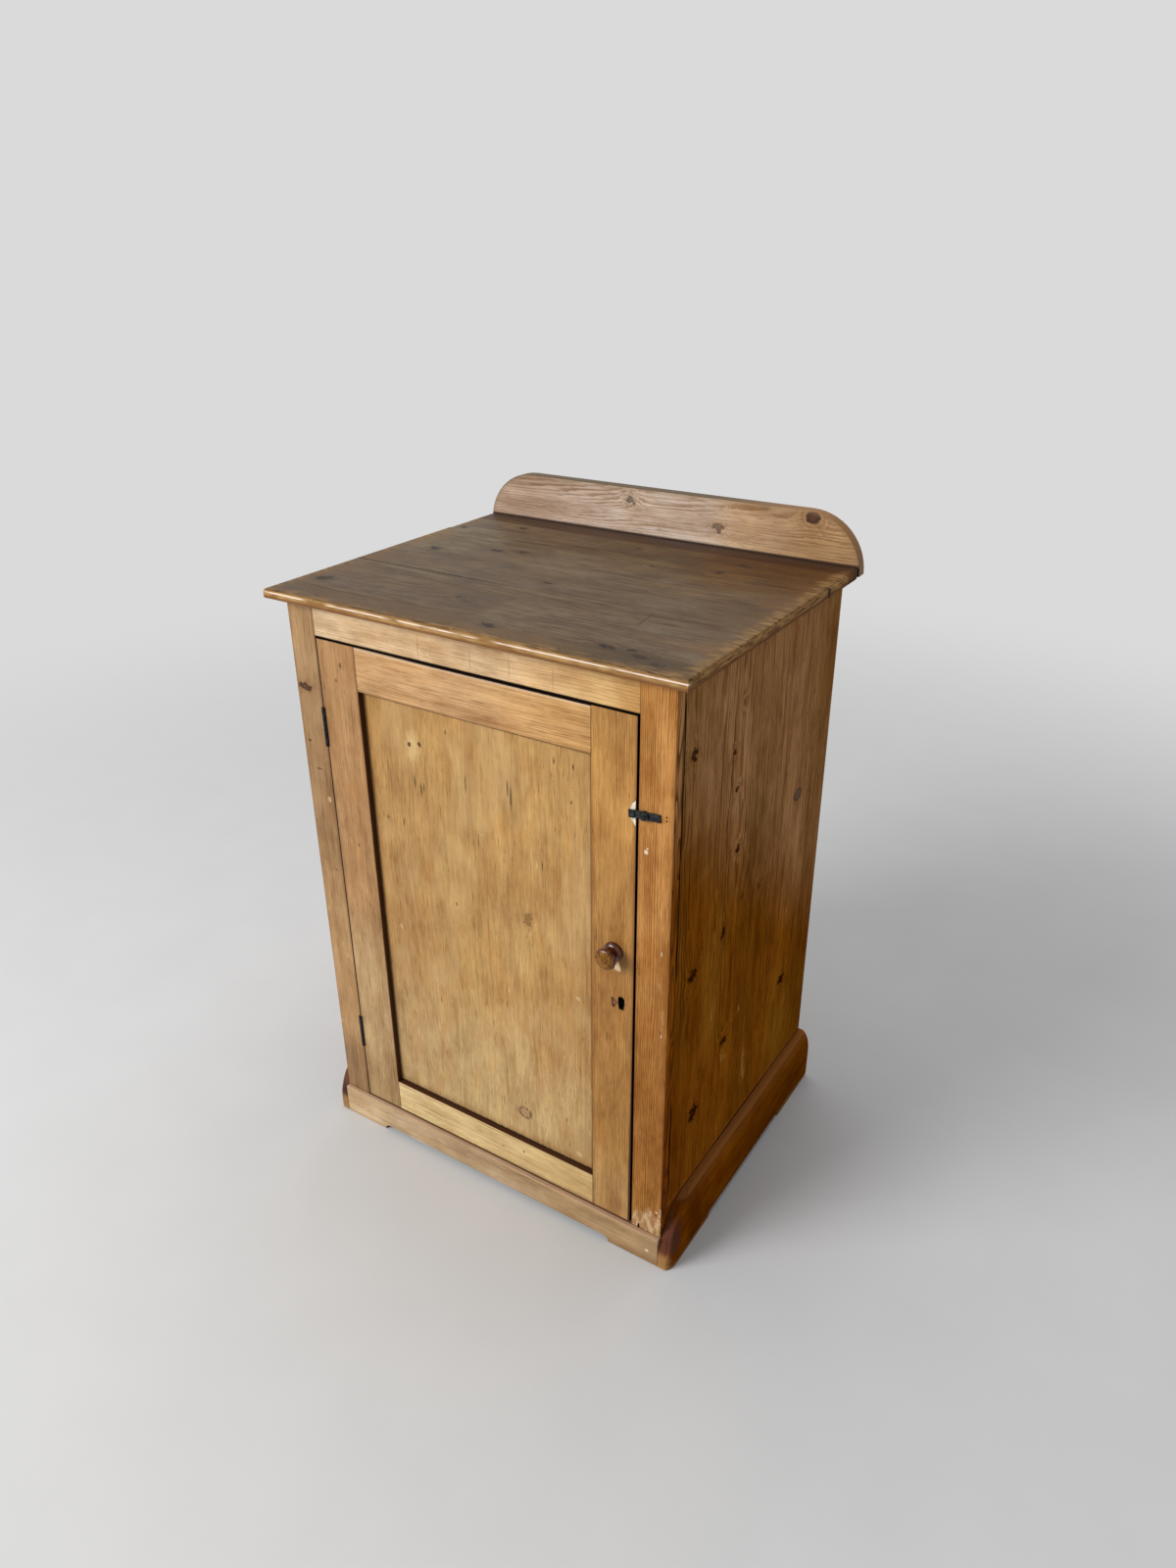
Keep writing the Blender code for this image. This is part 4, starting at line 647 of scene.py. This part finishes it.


# %% Painted sheen, knots and cracks of the sides
def sheen_and_fields(side, low_tone):
    """Gold below and a paler pink brown above, which is painted sheen, with darker and paler fields read off the
    side.
    """
    _, y, z = side.axes
    # Painted sheen: above a slanting line the side keeps a paler pink brown; below it the wood turns gold.
    side.tone(z + y * 0.75 + side.cloud * 60, (990, 730, low_tone))
    side.tint(side.reach(155, 500, 50, 190, 0).fall(0.3, 1.2), (1.12, 1.30, 1.9))
    side.tone(y, (95, 40, (0.90, 0.90, 0.80)))
    side.tint(y.fall(60, 110) * z.fall(320, 460), (0.84, 0.76, 0.62))
    side.tint(y.between(215, 260, 310, 350) * z.fall(820, 940), (0.80, 0.78, 0.68))
    side.tone(y, (470, 520, (0.77, 0.72, 0.60)))
    side.tint(y.rise(360, 420) * z.fall(240, 360), (1.10, 1.28, 1.5))
    side.mark(540, 880, 46, 52, (0.29, 0.125, 0.028), 0.6, soft=0.8, ragged=0.2)
    greyed = side.reach(448, 692, 16, 11, 0.25)
    side.paint(greyed.fall(0.8, 1.8) * 0.35, (0.24, 0.12, 0.05))
    side.paint(greyed.fall(0.75, 1.05) * 0.85, (0.155, 0.110, 0.080))
    side.paint(greyed.between(0.6, 0.9, 0.9, 1.1) * 0.7, (0.08, 0.045, 0.025))
    side.tint(side.streak(9, 300, 40).rise(0.06, 0.24) * 0.35, (0.62, 0.56, 0.48))
    side.tint(side.streak(4, 60, 41, detail=1).rise(0.20, 0.28) * 0.35, (1.5, 1.6, 1.9))
    side.marks(SIDE_FLECKS, (0.60, 0.34, 0.11), 0.40, soft=0.8, ragged=1.1)


def cracked(side):
    """The open joint to the stile, a second crack beside it, and finer ones over the whole side."""
    for start, end in ((560, 1030), (130, 345)):
        side.crack(23.0, start, end, width=2.4, colour=GAP, share=1.0, bend=7)
    for start, end in ((780, 900), (560, 680)):
        side.crack(30, start, end, width=1.6, share=0.9, bend=12)
    for across, start, end, bend in BENT_CRACKS:
        side.crack(across, start, end, width=1.9, colour=(0.060, 0.022, 0.008), share=0.85, bend=bend)
    for across, start, end in FAINT_CRACKS:
        side.crack(across, start, end, width=1.5, colour=(0.10, 0.042, 0.016), share=0.55, bend=16)


def side_rims(side):
    """Dirt at the stile, painted shade under the top, and a red line and a dark line over the plinth."""
    _, y, z = side.axes
    side.paint(y.fall(21.2, 22.2) * 0.45, DIRT)
    # Painted shade under the overhang of the top.
    side.paint((z + side.fine * 6).rise(1036, 1042) * 0.6, (0.22, 0.09, 0.04))
    side.paint((z + side.fine * 10).fall(112, 124) * 0.35, (0.42, 0.13, 0.02))
    deepest = y.between(160, 240, 360, 420) * 0.5 + 0.5
    side.paint(z.fall(109.2, 111.8) * deepest, GAP)


for name, low_tone in (("side_left", (0.74, 0.64, 0.50)), ("side_right", (0.610, 0.390, 0.060))):
    side = Pine(
        name, "z", "y", (0.461, 0.236, 0.094), ring=6.5, heart=40, aside=-90, lean=0.0, sway=30, lines=0.60,
        streaks=0.50, bands=0.20, cloud=0.9, fibres=1.5, flecks=0.9, wax=0.3, rim=0.0, roughness=0.62, gloss=0.0,
        knot_shade=(0.22, 0.16, 0.16), knot_lumps=1.0, knots=SIDE_KNOTS,
    )
    sheen_and_fields(side, low_tone)
    cracked(side)
    side_rims(side)
    leave_raw(side, side.x.between(1.0, 1.5, 694.5, 695.0))
    side.finish()

# %% [markdown]
# ## The plinth
# The front board is as pale as the door, with a rubbed top edge that carries a painted highlight, and painted
# shade in the gap behind it. Boots and mops made the side boards dark, a dark purple brown sheen is painted round
# their noses, and a painted highlight runs along their top edges. Each of these has its own height or depth, so
# each is one slope.

# %% Front of the plinth
plinth = Pine("plinth_front", "x", "z", (0.448, 0.312, 0.176), lines=0.20, flecks=0.25, rim=0.1)
plinth.tone(plinth.x, (330, 520, (0.84, 0.77, 0.66)), (150, 60, (1.16, 1.16, 1.14)))
# The top edge is worn, and a painted highlight lies on it.
plinth.paint(plinth.z.rise(56.5, 59.0) * 0.40, (0.60, 0.38, 0.26))
# Painted shade: the plinth's top face in the gap under the door is painted dark brown.
plinth.paint((plinth.y + 8).rise(6.4, 8.2) * plinth.z.rise(58.5, 59.6), (0.17, 0.085, 0.045))
plinth.paint((plinth.z + plinth.cloud * 20).fall(2, 16) * 0.5, (0.26, 0.135, 0.055))
plinth.mark(26, 676, 2.6, 3.6, (0.80, 0.72, 0.55), 0.9)
plinth.marks([(24, along, 1.5, 1.5) for along in (26, 38)], DIRT, 0.6)
# Painted shade and dirt on the edge faces of the arch.
gap_shade_and_dirt(plinth, plinth.z.fall(11.8, 12.6), shaded(DIRT, 1.5), 28)
plinth.finish()

# %% Sides of the plinth
for name, colour in (("plinth_left", (0.250, 0.118, 0.045)), ("plinth_right", (0.182, 0.050, 0.0012))):
    plinth = Pine(
        name, "y", "z", colour, ring=5.0, aside=60, lines=0.35, streaks=0.6, bands=0.5, cloud=1.2,
        roughness=0.34, gloss=0.0, wax=0.4, rim=0.0,
    )
    x, y, z = plinth.axes
    # Painted sheen: a dark purple brown round the nose.
    nose = (y + plinth.cloud * 30).fall(6, 44) * z.rise(20, 40)
    plinth.paint(nose * 0.7, (0.092, 0.038, 0.030))
    plinth.tint(y.between(40, 70, 90, 110), (0.66, 0.60, 0.60))
    plinth.tint(y.between(110, 140, 200, 250), (1.22, 1.22, 1.0))
    # Painted highlight along the rounded top edge.
    plinth.paint((z + plinth.fine * 2).rise(101, 104.5) * 0.55, (0.36, 0.155, 0.040))
    plinth.paint(x.fall(-1, 1) * (y + plinth.cloud * 12).fall(-7, 6) * 0.85, (0.050, 0.027, 0.022))
    plinth.paint(z.rise(84, 106) * y.rise(30, 90) * 0.25, (0.30, 0.115, 0.035))
    plinth.paint((z + plinth.cloud * 24).fall(2, 14) * 0.7, (0.30, 0.155, 0.06))
    plinth.paint((y + plinth.fine * 10).fall(-7, 4) * z.fall(22, 40) * 0.6, (0.44, 0.25, 0.10))
    plinth.finish()

# %% [markdown]
# ## The top
# Years of cups and cloths left a grey brown skin on the three boards of the top. The rim, which hands and aprons
# rub, shows the warm wood again, and old spills sit along it as black specks. The boards share one recipe in the
# measures of the whole top, so skin and rim run on from board to board.

# %% Recipe of the top
TOP_LEFT, TOP_RIGHT, TOP_FRONT, TOP_FACE = -25.5, 721.5, -22.5, 1060.0


class TopBoard(Pine):
    """One board of the top, with its part of the skin, the rim, the spills and the lip."""

    def __init__(self, name, knots, scratches):
        super().__init__(
            name, "x", "y", (0.112, 0.0725, 0.0376), ring=7.0, heart=60, aside=110, sway=50, lines=0.55,
            streaks=0.6, bands=0.3, cloud=1.5, fibres=2.0, flecks=1.0, wax=0.5, rim=0.0, roughness=0.42, gloss=0.10,
            knots=knots, knot_shade=(0.26, 0.22, 0.22), knot_lumps=1.0,
        )
        self.rim = (self.x - TOP_LEFT).least(TOP_RIGHT - self.x).least(self.y - TOP_FRONT)
        self.patchy = self.clouds((90, 60, 60), 3.1, detail=3, rough=0.6)
        self.grow_skin()
        self.rub_rim()
        for across, start, end, width, share in scratches:
            self.crack(across, start, end, width, (0.05, 0.030, 0.018), share, bend=30)
        self.draw_knots(0.75)
        self.wear_lip()

    def grow_skin(self):
        """Grey and brown fields, paler where cups stood, warmer at the right and the back, and a painted reflection
        at the left back.
        """
        x, y, _ = self.axes
        self.paint((self.rim + self.patchy * 110).fall(8, 70) * 0.65, (0.140, 0.074, 0.029))
        self.paint(self.patchy.rise(0.02, 0.2) * 0.4, (0.145, 0.108, 0.070))
        self.tint(y.rise(300, 460) * x.rise(60, 420), (0.80, 0.69, 0.50))
        # Painted reflection: the left end at the back is paler and bluer.
        self.tint(x.fall(60, 140) * y.rise(250, 330), (1.22, 1.36, 1.42))
        self.tint(x.rise(320, 360) * y.fall(120, 150), (1.12, 1.14, 1.15))
        self.tint(y.rise(230, 400) * x.rise(420, 560), (0.94, 0.74, 0.44))
        self.tint(y.fall(24, 46) * x.rise(430, 640), (0.62, 0.62, 0.58))
        self.tint(x.rise(560, 640) * y.between(150, 230, 280, 340), (0.86, 0.78, 0.68))
        self.tone(y, (430, 480, (0.88, 0.85, 0.84)), (60, 20, (0.85, 0.84, 0.82)))
        self.paint(self.clouds((60, 16, 9), 8.1, detail=3).rise(0.06, 0.2) * 0.35, (0.052, 0.036, 0.022))

    def rub_rim(self):
        """The rubbed rim and the black spills along it."""
        warm = self.clouds((30, 4, 5), 5.3, detail=4, rough=0.6) * 4 + 0.5
        rubbed = self.mix(warm, (0.060, 0.031, 0.011), (0.30, 0.165, 0.052))
        border = self.rim + self.clouds((46, 9, 9), 7.7, detail=3) * 40 - self.x.rise(560, 700) * 10
        self.paint(border.fall(2, 20) * 0.8, rubbed)
        spill = self.clouds((9, 6, 6), 9.9, detail=3).rise(0.13, 0.20) * (self.rim + self.patchy * 60).fall(10, 60)
        self.paint(spill * 0.7, (0.032, 0.024, 0.015))
        self.rough = self.rough + spill * 0.1

    def wear_lip(self):
        """The rounded lip, its right end, a painted highlight line along the front and the dark wood below."""
        x, y, z = self.axes
        nosing = z.fall(TOP_FACE - 3.0, TOP_FACE - 1.0)
        end_face = x.rise(715, 720)
        lip = self.clouds((30, 9, 9), 11.3) * 4 + 0.5
        self.paint(nosing, self.mix(lip, (0.25, 0.125, 0.040), (0.42, 0.25, 0.095)))
        lip_end = self.clouds((9, 26, 4), 12.1) * 4 + 0.5
        self.paint(nosing * end_face, self.mix(lip_end, (0.16, 0.075, 0.026), (0.42, 0.23, 0.085)))
        # Painted highlight: a thin pale line along the front of the lip.
        painted_highlight = z.between(TOP_FACE - 6.0, TOP_FACE - 5.2, TOP_FACE - 4.0, TOP_FACE - 3.2)
        broken = self.clouds((60, 9, 9), 2.7).rise(-0.2, -0.02)
        self.paint(painted_highlight * y.fall(-20, -16) * broken * 0.85, (0.85, 0.70, 0.58))
        self.paint(z.fall(TOP_FACE - 12, TOP_FACE - 8.5) * 0.8, (0.170, 0.066, 0.020))
        self.rough = self.rough - nosing * 0.20 + end_face * 0.6


print("the top measures", TOP_RIGHT - TOP_LEFT, "mm from end to end")

# %% [markdown]
# ### Joints and scars of the top
# Black lines have opened along the joints. The front board has a short slanting cut, the middle one a bow shaped
# scratch, and a dark band runs along the back, with painted shade where the top meets the board behind it. Each
# is the distance from a line or a circle, and fades out at its ends.

# %% Front board of the top
INK = (0.022, 0.014, 0.009)
front = TopBoard(
    "top_board_front",
    knots=((69, 16, 10, 1.0, 1.2), (21, 382, 6, 1.0, 1.8), (32, 571, 6, 1.0, 2.2), (38, 605, 4, 1.0, 1.4),
           (21, 627, 6, 1.0, 2.0), (8, 660, 5, 0.7, 2.0), (104, 262, 4, 0.7, 1.5)),
    scratches=((96, 540, 700, 0.7, 0.35), (150, 60, 330, 0.6, 0.3)),
)
front.crack(187.6, -90, 300, 1.8, INK, 0.95, bend=0.8, tip=60)
front.crack(187.8, 330, 560, 1.2, INK, 0.35, bend=2, tip=60)
slip = abs(front.x - 556 + (front.y - 160) * 0.09 + front.fine * 4)
front.paint(slip.fall(0.8, 2.0) * front.y.between(126, 138, 180, 200) * 0.8, DIRT)
front.finish()

# %% Middle board of the top
middle = TopBoard(
    "top_board_middle",
    knots=((305, 51, 7, 1.0, 1.6), (347, 151, 6, 1.0, 1.8), (361, 197, 6, 1.0, 1.8), (425, 540, 6, 1.0, 0.9),
           (233, 336, 5, 0.7, 1.6), (404, 427, 3, 0.7, 1.4)),
    scratches=((330, 380, 690, 0.7, 0.3), (262, 30, 200, 0.6, 0.3)),
)
middle.crack(189.2, -90, 290, 1.6, INK, 0.9, bend=0.8, tip=60)
middle.crack(199, 396, 575, 2.6, (0.045, 0.027, 0.016), 0.75, bend=26, tip=70)
BOW_X, BOW_Y, BOW_RADIUS = 262, 215, 66
from_bow = ((middle.x - BOW_X) ** 2.0 + (middle.y - BOW_Y) ** 2.0) ** 0.5
bow = abs(from_bow - BOW_RADIUS + middle.fine * 3).fall(0.6, 1.8)
middle.paint(bow * middle.x.fall(225, 250) * middle.y.rise(200, 216) * 0.75, DIRT)
middle.finish()

# %% Back board of the top
back = TopBoard(
    "top_board_back",
    knots=((450, 1, 5, 0.8, 1.5), (498, 101, 6, 0.8, 1.6), (481, 560, 6, 0.8, 2.2), (486, 353, 4, 0.8, 1.6)),
    scratches=((470, 60, 420, 0.7, 0.35),),
)
opened = abs(back.y - 443.5 - (back.x - 217) * 0.024 + back.fine * 1.5)
back.paint(opened.fall(0.7, 2.0) * back.x.between(205, 300, 460, 560), INK)
# A dark band along the back, darkest next to the board behind the top.
back.tint((back.y + back.fine * 3).rise(517, 521), (0.56, 0.42, 0.40))
back.paint(back.y.rise(532, 548) * 0.65, (0.042, 0.022, 0.014))
# Painted shade where the top meets the board behind it.
back.paint(back.y.rise(563, 566), GAP)
back.paint(back.reach(437, 724, 9, 14, 0.3).fall(0.5, 1.1) * 0.8, GAP)
back.finish()

# %% [markdown]
# ## The board behind the top
# It has gone a dusty pink gold, with a dark edge and a big dark knot near its right end, in rings of dark grain.
# The edge has to bend round the two corners, so it is the distance from the corner's own circle.

# %% Wood and knots of the upstand
upstand = Pine(
    "upstand", "x", "z", (0.42, 0.29, 0.20), ring=4.2, heart=42, aside=55, sway=36, lean=0.05, lines=0.60,
    streaks=0.5, bands=0.5, cloud=0.8, flecks=0.6, rim=0.0, roughness=0.5, wax=0.2, gloss=0.2,
    knot_shade=(0.46, 0.50, 0.62), knot_lumps=1.3,
    knots=((1121, 286, 7, 0.95, 1.0), (1092, 464, 8, 0.8, 1.0), (1131, 634, 9, 0.4, 1.1)),
)
x, y, z = upstand.axes
upstand.tone(x, (60, 300, (1.42, 1.62, 1.84)), (340, 640, (0.66, 0.48, 0.275)))
upstand.tint(x.between(440, 490, 520, 580), (1.12, 1.08, 0.96))
eye = upstand.reach(1131, 634, 10.5, 13, 0.2)
upstand.paint(eye.fall(1.0, 3.2) * (eye * 9).wave().rise(-0.2, 0.9) * 0.5, (0.20, 0.085, 0.03))
upstand.paint(eye.fall(0.85, 1.15) * 0.95, (0.050, 0.018, 0.009))
upstand.paint(eye.fall(0.3, 0.75) * 0.7, (0.115, 0.040, 0.018))
worm_marks = ((1103, 640), (1101, 648), (1104, 657), (1108, 662))
upstand.marks([(across, along, 1.4, 4.2) for across, along in worm_marks], (0.26, 0.17, 0.085), 0.7, ragged=0.8)
print("worm marks beside the dark knot:", len(worm_marks))

# %% Edge of the upstand
MIDDLE_X, MIDDLE_Y = 348, 285
STRAIGHT_HALF, CORNER_FOOT, CORNER_RADIUS = 275.5, 1044, 98
past_corner = (abs(x - MIDDLE_X) - STRAIGHT_HALF).most(0.0)
from_edge = CORNER_RADIUS - ((past_corner ** 2.0 + (z - CORNER_FOOT) ** 2.0) ** 0.5)
upstand.paint((from_edge + upstand.fine * 2).fall(2.5, 9) * 0.35, (0.26, 0.17, 0.09))
edge_brown = upstand.mix(x.rise(420, 690), (0.090, 0.056, 0.024), (0.26, 0.125, 0.040))
upstand.paint(from_edge.fall(0.5, 1.8), edge_brown)
# Painted shade: a dark line along the foot of the front face, where it meets the top.
upstand.paint(z.fall(1060.8, 1064.5) * y.fall(570, 571) * 0.95, (0.030, 0.014, 0.008))
upstand.finish()
print("upstand height over the top, mm:", round(upstand.high[2] - TOP_FACE, 1))

# %% [markdown]
# ## Inside
# The shelves, cleats and back boards were never waxed. The photograph doesn't show them, so they take the plain
# recipe in a dry, pale colour.

# %% Inside boards
inside = [name for name in nodes if "cleat" in name or "shelf" in name or "back_" in name and "top" not in name]
inside += ["bottom_board", "glue_block_left", "glue_block_right", "door_stop"]
for name in inside:
    along = {"back_board": "z", "glue_block": "z"}.get(name[:10], "y" if "cleat" in name else "x")
    across = {"x": "y", "y": "z", "z": "x"}[along]
    dry = Pine(
        name, along, across, (0.40, 0.255, 0.130), ring=5.5, aside=30, sway=45, lines=0.40, roughness=0.68,
        gloss=0.2,
    )
    dry.paint(dry.edge.fall(0.6, 2.4) * (0.85 if "back_board" in name else 0.4), DIRT)
    dry.finish()
print("dry boards inside:", len(inside))

# %% [markdown]
# ## Iron and steel
# The hinges and the turn button are blacked iron with a few paler patches, which are painted highlights, and the
# lock inside is dull steel. Both change a little from place to place, because one even grey would look like
# plastic.


# %% Iron and steel
def metal(name, dark, light, share, roughness, metallic=0.0, gloss=0.5, grain=5.0):
    """A metal with lighter patches, which cover more of it as the share grows."""
    finish = Finish(name, roughness, metallic, gloss)
    patches = finish.clouds((grain, grain, grain), 2.2, detail=4)
    pits = finish.clouds((grain * 0.18,) * 3, 4.4, detail=3)
    finish.feed("Base Color", finish.mix(patches * 3 + share, dark, light))
    finish.feed("Roughness", patches * 0.5 + pits * 0.3 + roughness)
    finish.bump(patches * 2 + pits, 0.0003, 0.8)
    return finish


# The iron's paler bluish patches are painted highlights.
iron = metal(
    "black iron", dark=(0.004, 0.004, 0.005), light=(0.036, 0.040, 0.046), share=0.15, roughness=0.36, gloss=0.25,
)
steel = metal(
    "dull steel", dark=(0.10, 0.09, 0.08), light=(0.26, 0.25, 0.24), share=0.45, roughness=0.45, metallic=0.9,
)
iron_pieces = [name for name in nodes if "hinge_upper" in name or "hinge_lower" in name or "turn_button" in name]
steel_pieces = [name for name in nodes if "lock_" in name and "stile" not in name]
iron.put_on(*(nodes[name] for name in iron_pieces))
steel.put_on(*(nodes[name] for name in steel_pieces))
print("iron pieces:", len(iron_pieces), "steel pieces:", len(steel_pieces))

# %% [markdown]
# ## The knob
# The knob was turned from a harder, redder wood. Hands wore the stain off its face, which shows golden wood,
# while rim and neck kept a polish that reads almost like glass. One slope along the knob's own axis tells face
# from rim, for the colour and for the clear coat.

# %% Knob
POLISHED = 0.12
knob = Finish("polished knob", roughness=POLISHED, gloss=0.12)
arcs = knob.clouds((3.2, 14, 9), 1.5, detail=3)
face = (knob.y + arcs * 8).fall(-29.5, -26.5)
stain = knob.mix(arcs * 4 + 0.5, (0.045, 0.009, 0.002), (0.130, 0.034, 0.007))
worn_face = knob.mix(arcs * 5 + 0.5, (0.095, 0.030, 0.003), (0.26, 0.115, 0.015))
knob.feed("Base Color", knob.mix(face, stain, worn_face))
knob.feed("Roughness", arcs * 0.15 + POLISHED)
knob.feed("Coat Weight", 0.75 - face * 0.65)
knob.bump(arcs, 0.0002, 0.3)
knob.put_on(nodes["knob"])
print("knob nodes:", len(knob.tree.nodes))

# %% [markdown]
# ## Floor and light
# One broad lamp stands to the left of the front, as the daylight did, so the right side lies in shade. A weaker
# one over the top fills in, and a small one gives the knob its glint. Far away the floor turns into the even pale
# background, for the eye and for reflections only, so no dark horizon runs behind the cupboard.

# %% Floor
PALE = 0.70
FLOOR_HALF, FLOOR_DROP = 30, 0.0005
floor_mesh = bpy.data.meshes.new("floor")
shape = bmesh.new()
bmesh.ops.create_grid(shape, x_segments=4, y_segments=4, size=FLOOR_HALF)
shape.to_mesh(floor_mesh)
shape.free()
floor = bpy.data.objects.new("floor", floor_mesh)
floor.location.z = -FLOOR_DROP
bpy.context.scene.collection.objects.link(floor)
print("floor half width, m:", FLOOR_HALF)


# %% Floor finish
def seen_rays(finish):
    """1 for the rays of the eye, of reflections and of glass, else 0."""
    sockets = finish.node("ShaderNodeLightPath").socket.node.outputs
    seen, glossy, through = (Wire(finish, sockets[f"Is {ray} Ray"]) for ray in ("Camera", "Glossy", "Transmission"))
    return seen.most(glossy).most(through)


ground = Finish("pale floor", roughness=0.85, gloss=0.1)
mottle = ground.clouds((160, 160, 160), 1.0, detail=3)
ground.feed("Base Color", ground.mix(mottle + 0.5, (0.60, 0.60, 0.595), (0.645, 0.645, 0.64)))
away = ((ground.x - MIDDLE_X) ** 2.0 + (ground.y - MIDDLE_Y) ** 2.0) ** 0.5
glow = ground.node("ShaderNodeEmission", inputs={0: (PALE, PALE, PALE, 1), 1: 1.0})
lit = Wire(ground, ground.shader.outputs[0])
blended = ground.node("ShaderNodeMixShader", inputs={
    0: away.rise(900, 3600) * seen_rays(ground), 1: lit, 2: glow,
})
surface = ground.tree.nodes["Material Output"].inputs["Surface"]
ground.tree.links.new(blended.socket, surface)
floor_mesh.materials.append(ground.material)
print("floor nodes:", len(ground.tree.nodes))


# %% Lamps
def lamp(name, place, target, size, watts):
    light = bpy.data.lights.new(name, "AREA")
    light.shape = "DISK"
    light.size = size
    light.energy = watts
    item = bpy.data.objects.new(name, light)
    item.location = place
    item.rotation_euler = (Vector(target) - Vector(place)).to_track_quat("-Z", "Y").to_euler()
    bpy.context.scene.collection.objects.link(item)
    print(name, "W:", watts)


lamp("window light", place=(-2.9, -4.6, 3.2), target=(0, 0, 0.5), size=3.4, watts=325)
lamp("top light", place=(-0.2, 0.6, 3.8), target=(0, 0, 1), size=2.5, watts=43)
lamp("glint", place=(-1.5, -2.7, 2.5), target=(0, -0.28, 0.7), size=0.08, watts=3)


# %% Studio background
class Studio(Finish):
    """The world's own finish, which has a background in place of a surface."""

    def __init__(self):
        self.world = bpy.data.worlds.new("studio")
        bpy.context.scene.world = self.world
        self.world.use_nodes = True
        self.tree = self.world.node_tree
        self.shader = self.tree.nodes["Background"]


studio = Studio()
studio.feed("Color", studio.mix(seen_rays(studio), (0.36, 0.365, 0.38), (PALE, PALE, PALE)))
bpy.context.scene.view_settings.view_transform = "Standard"
print("background:", PALE)
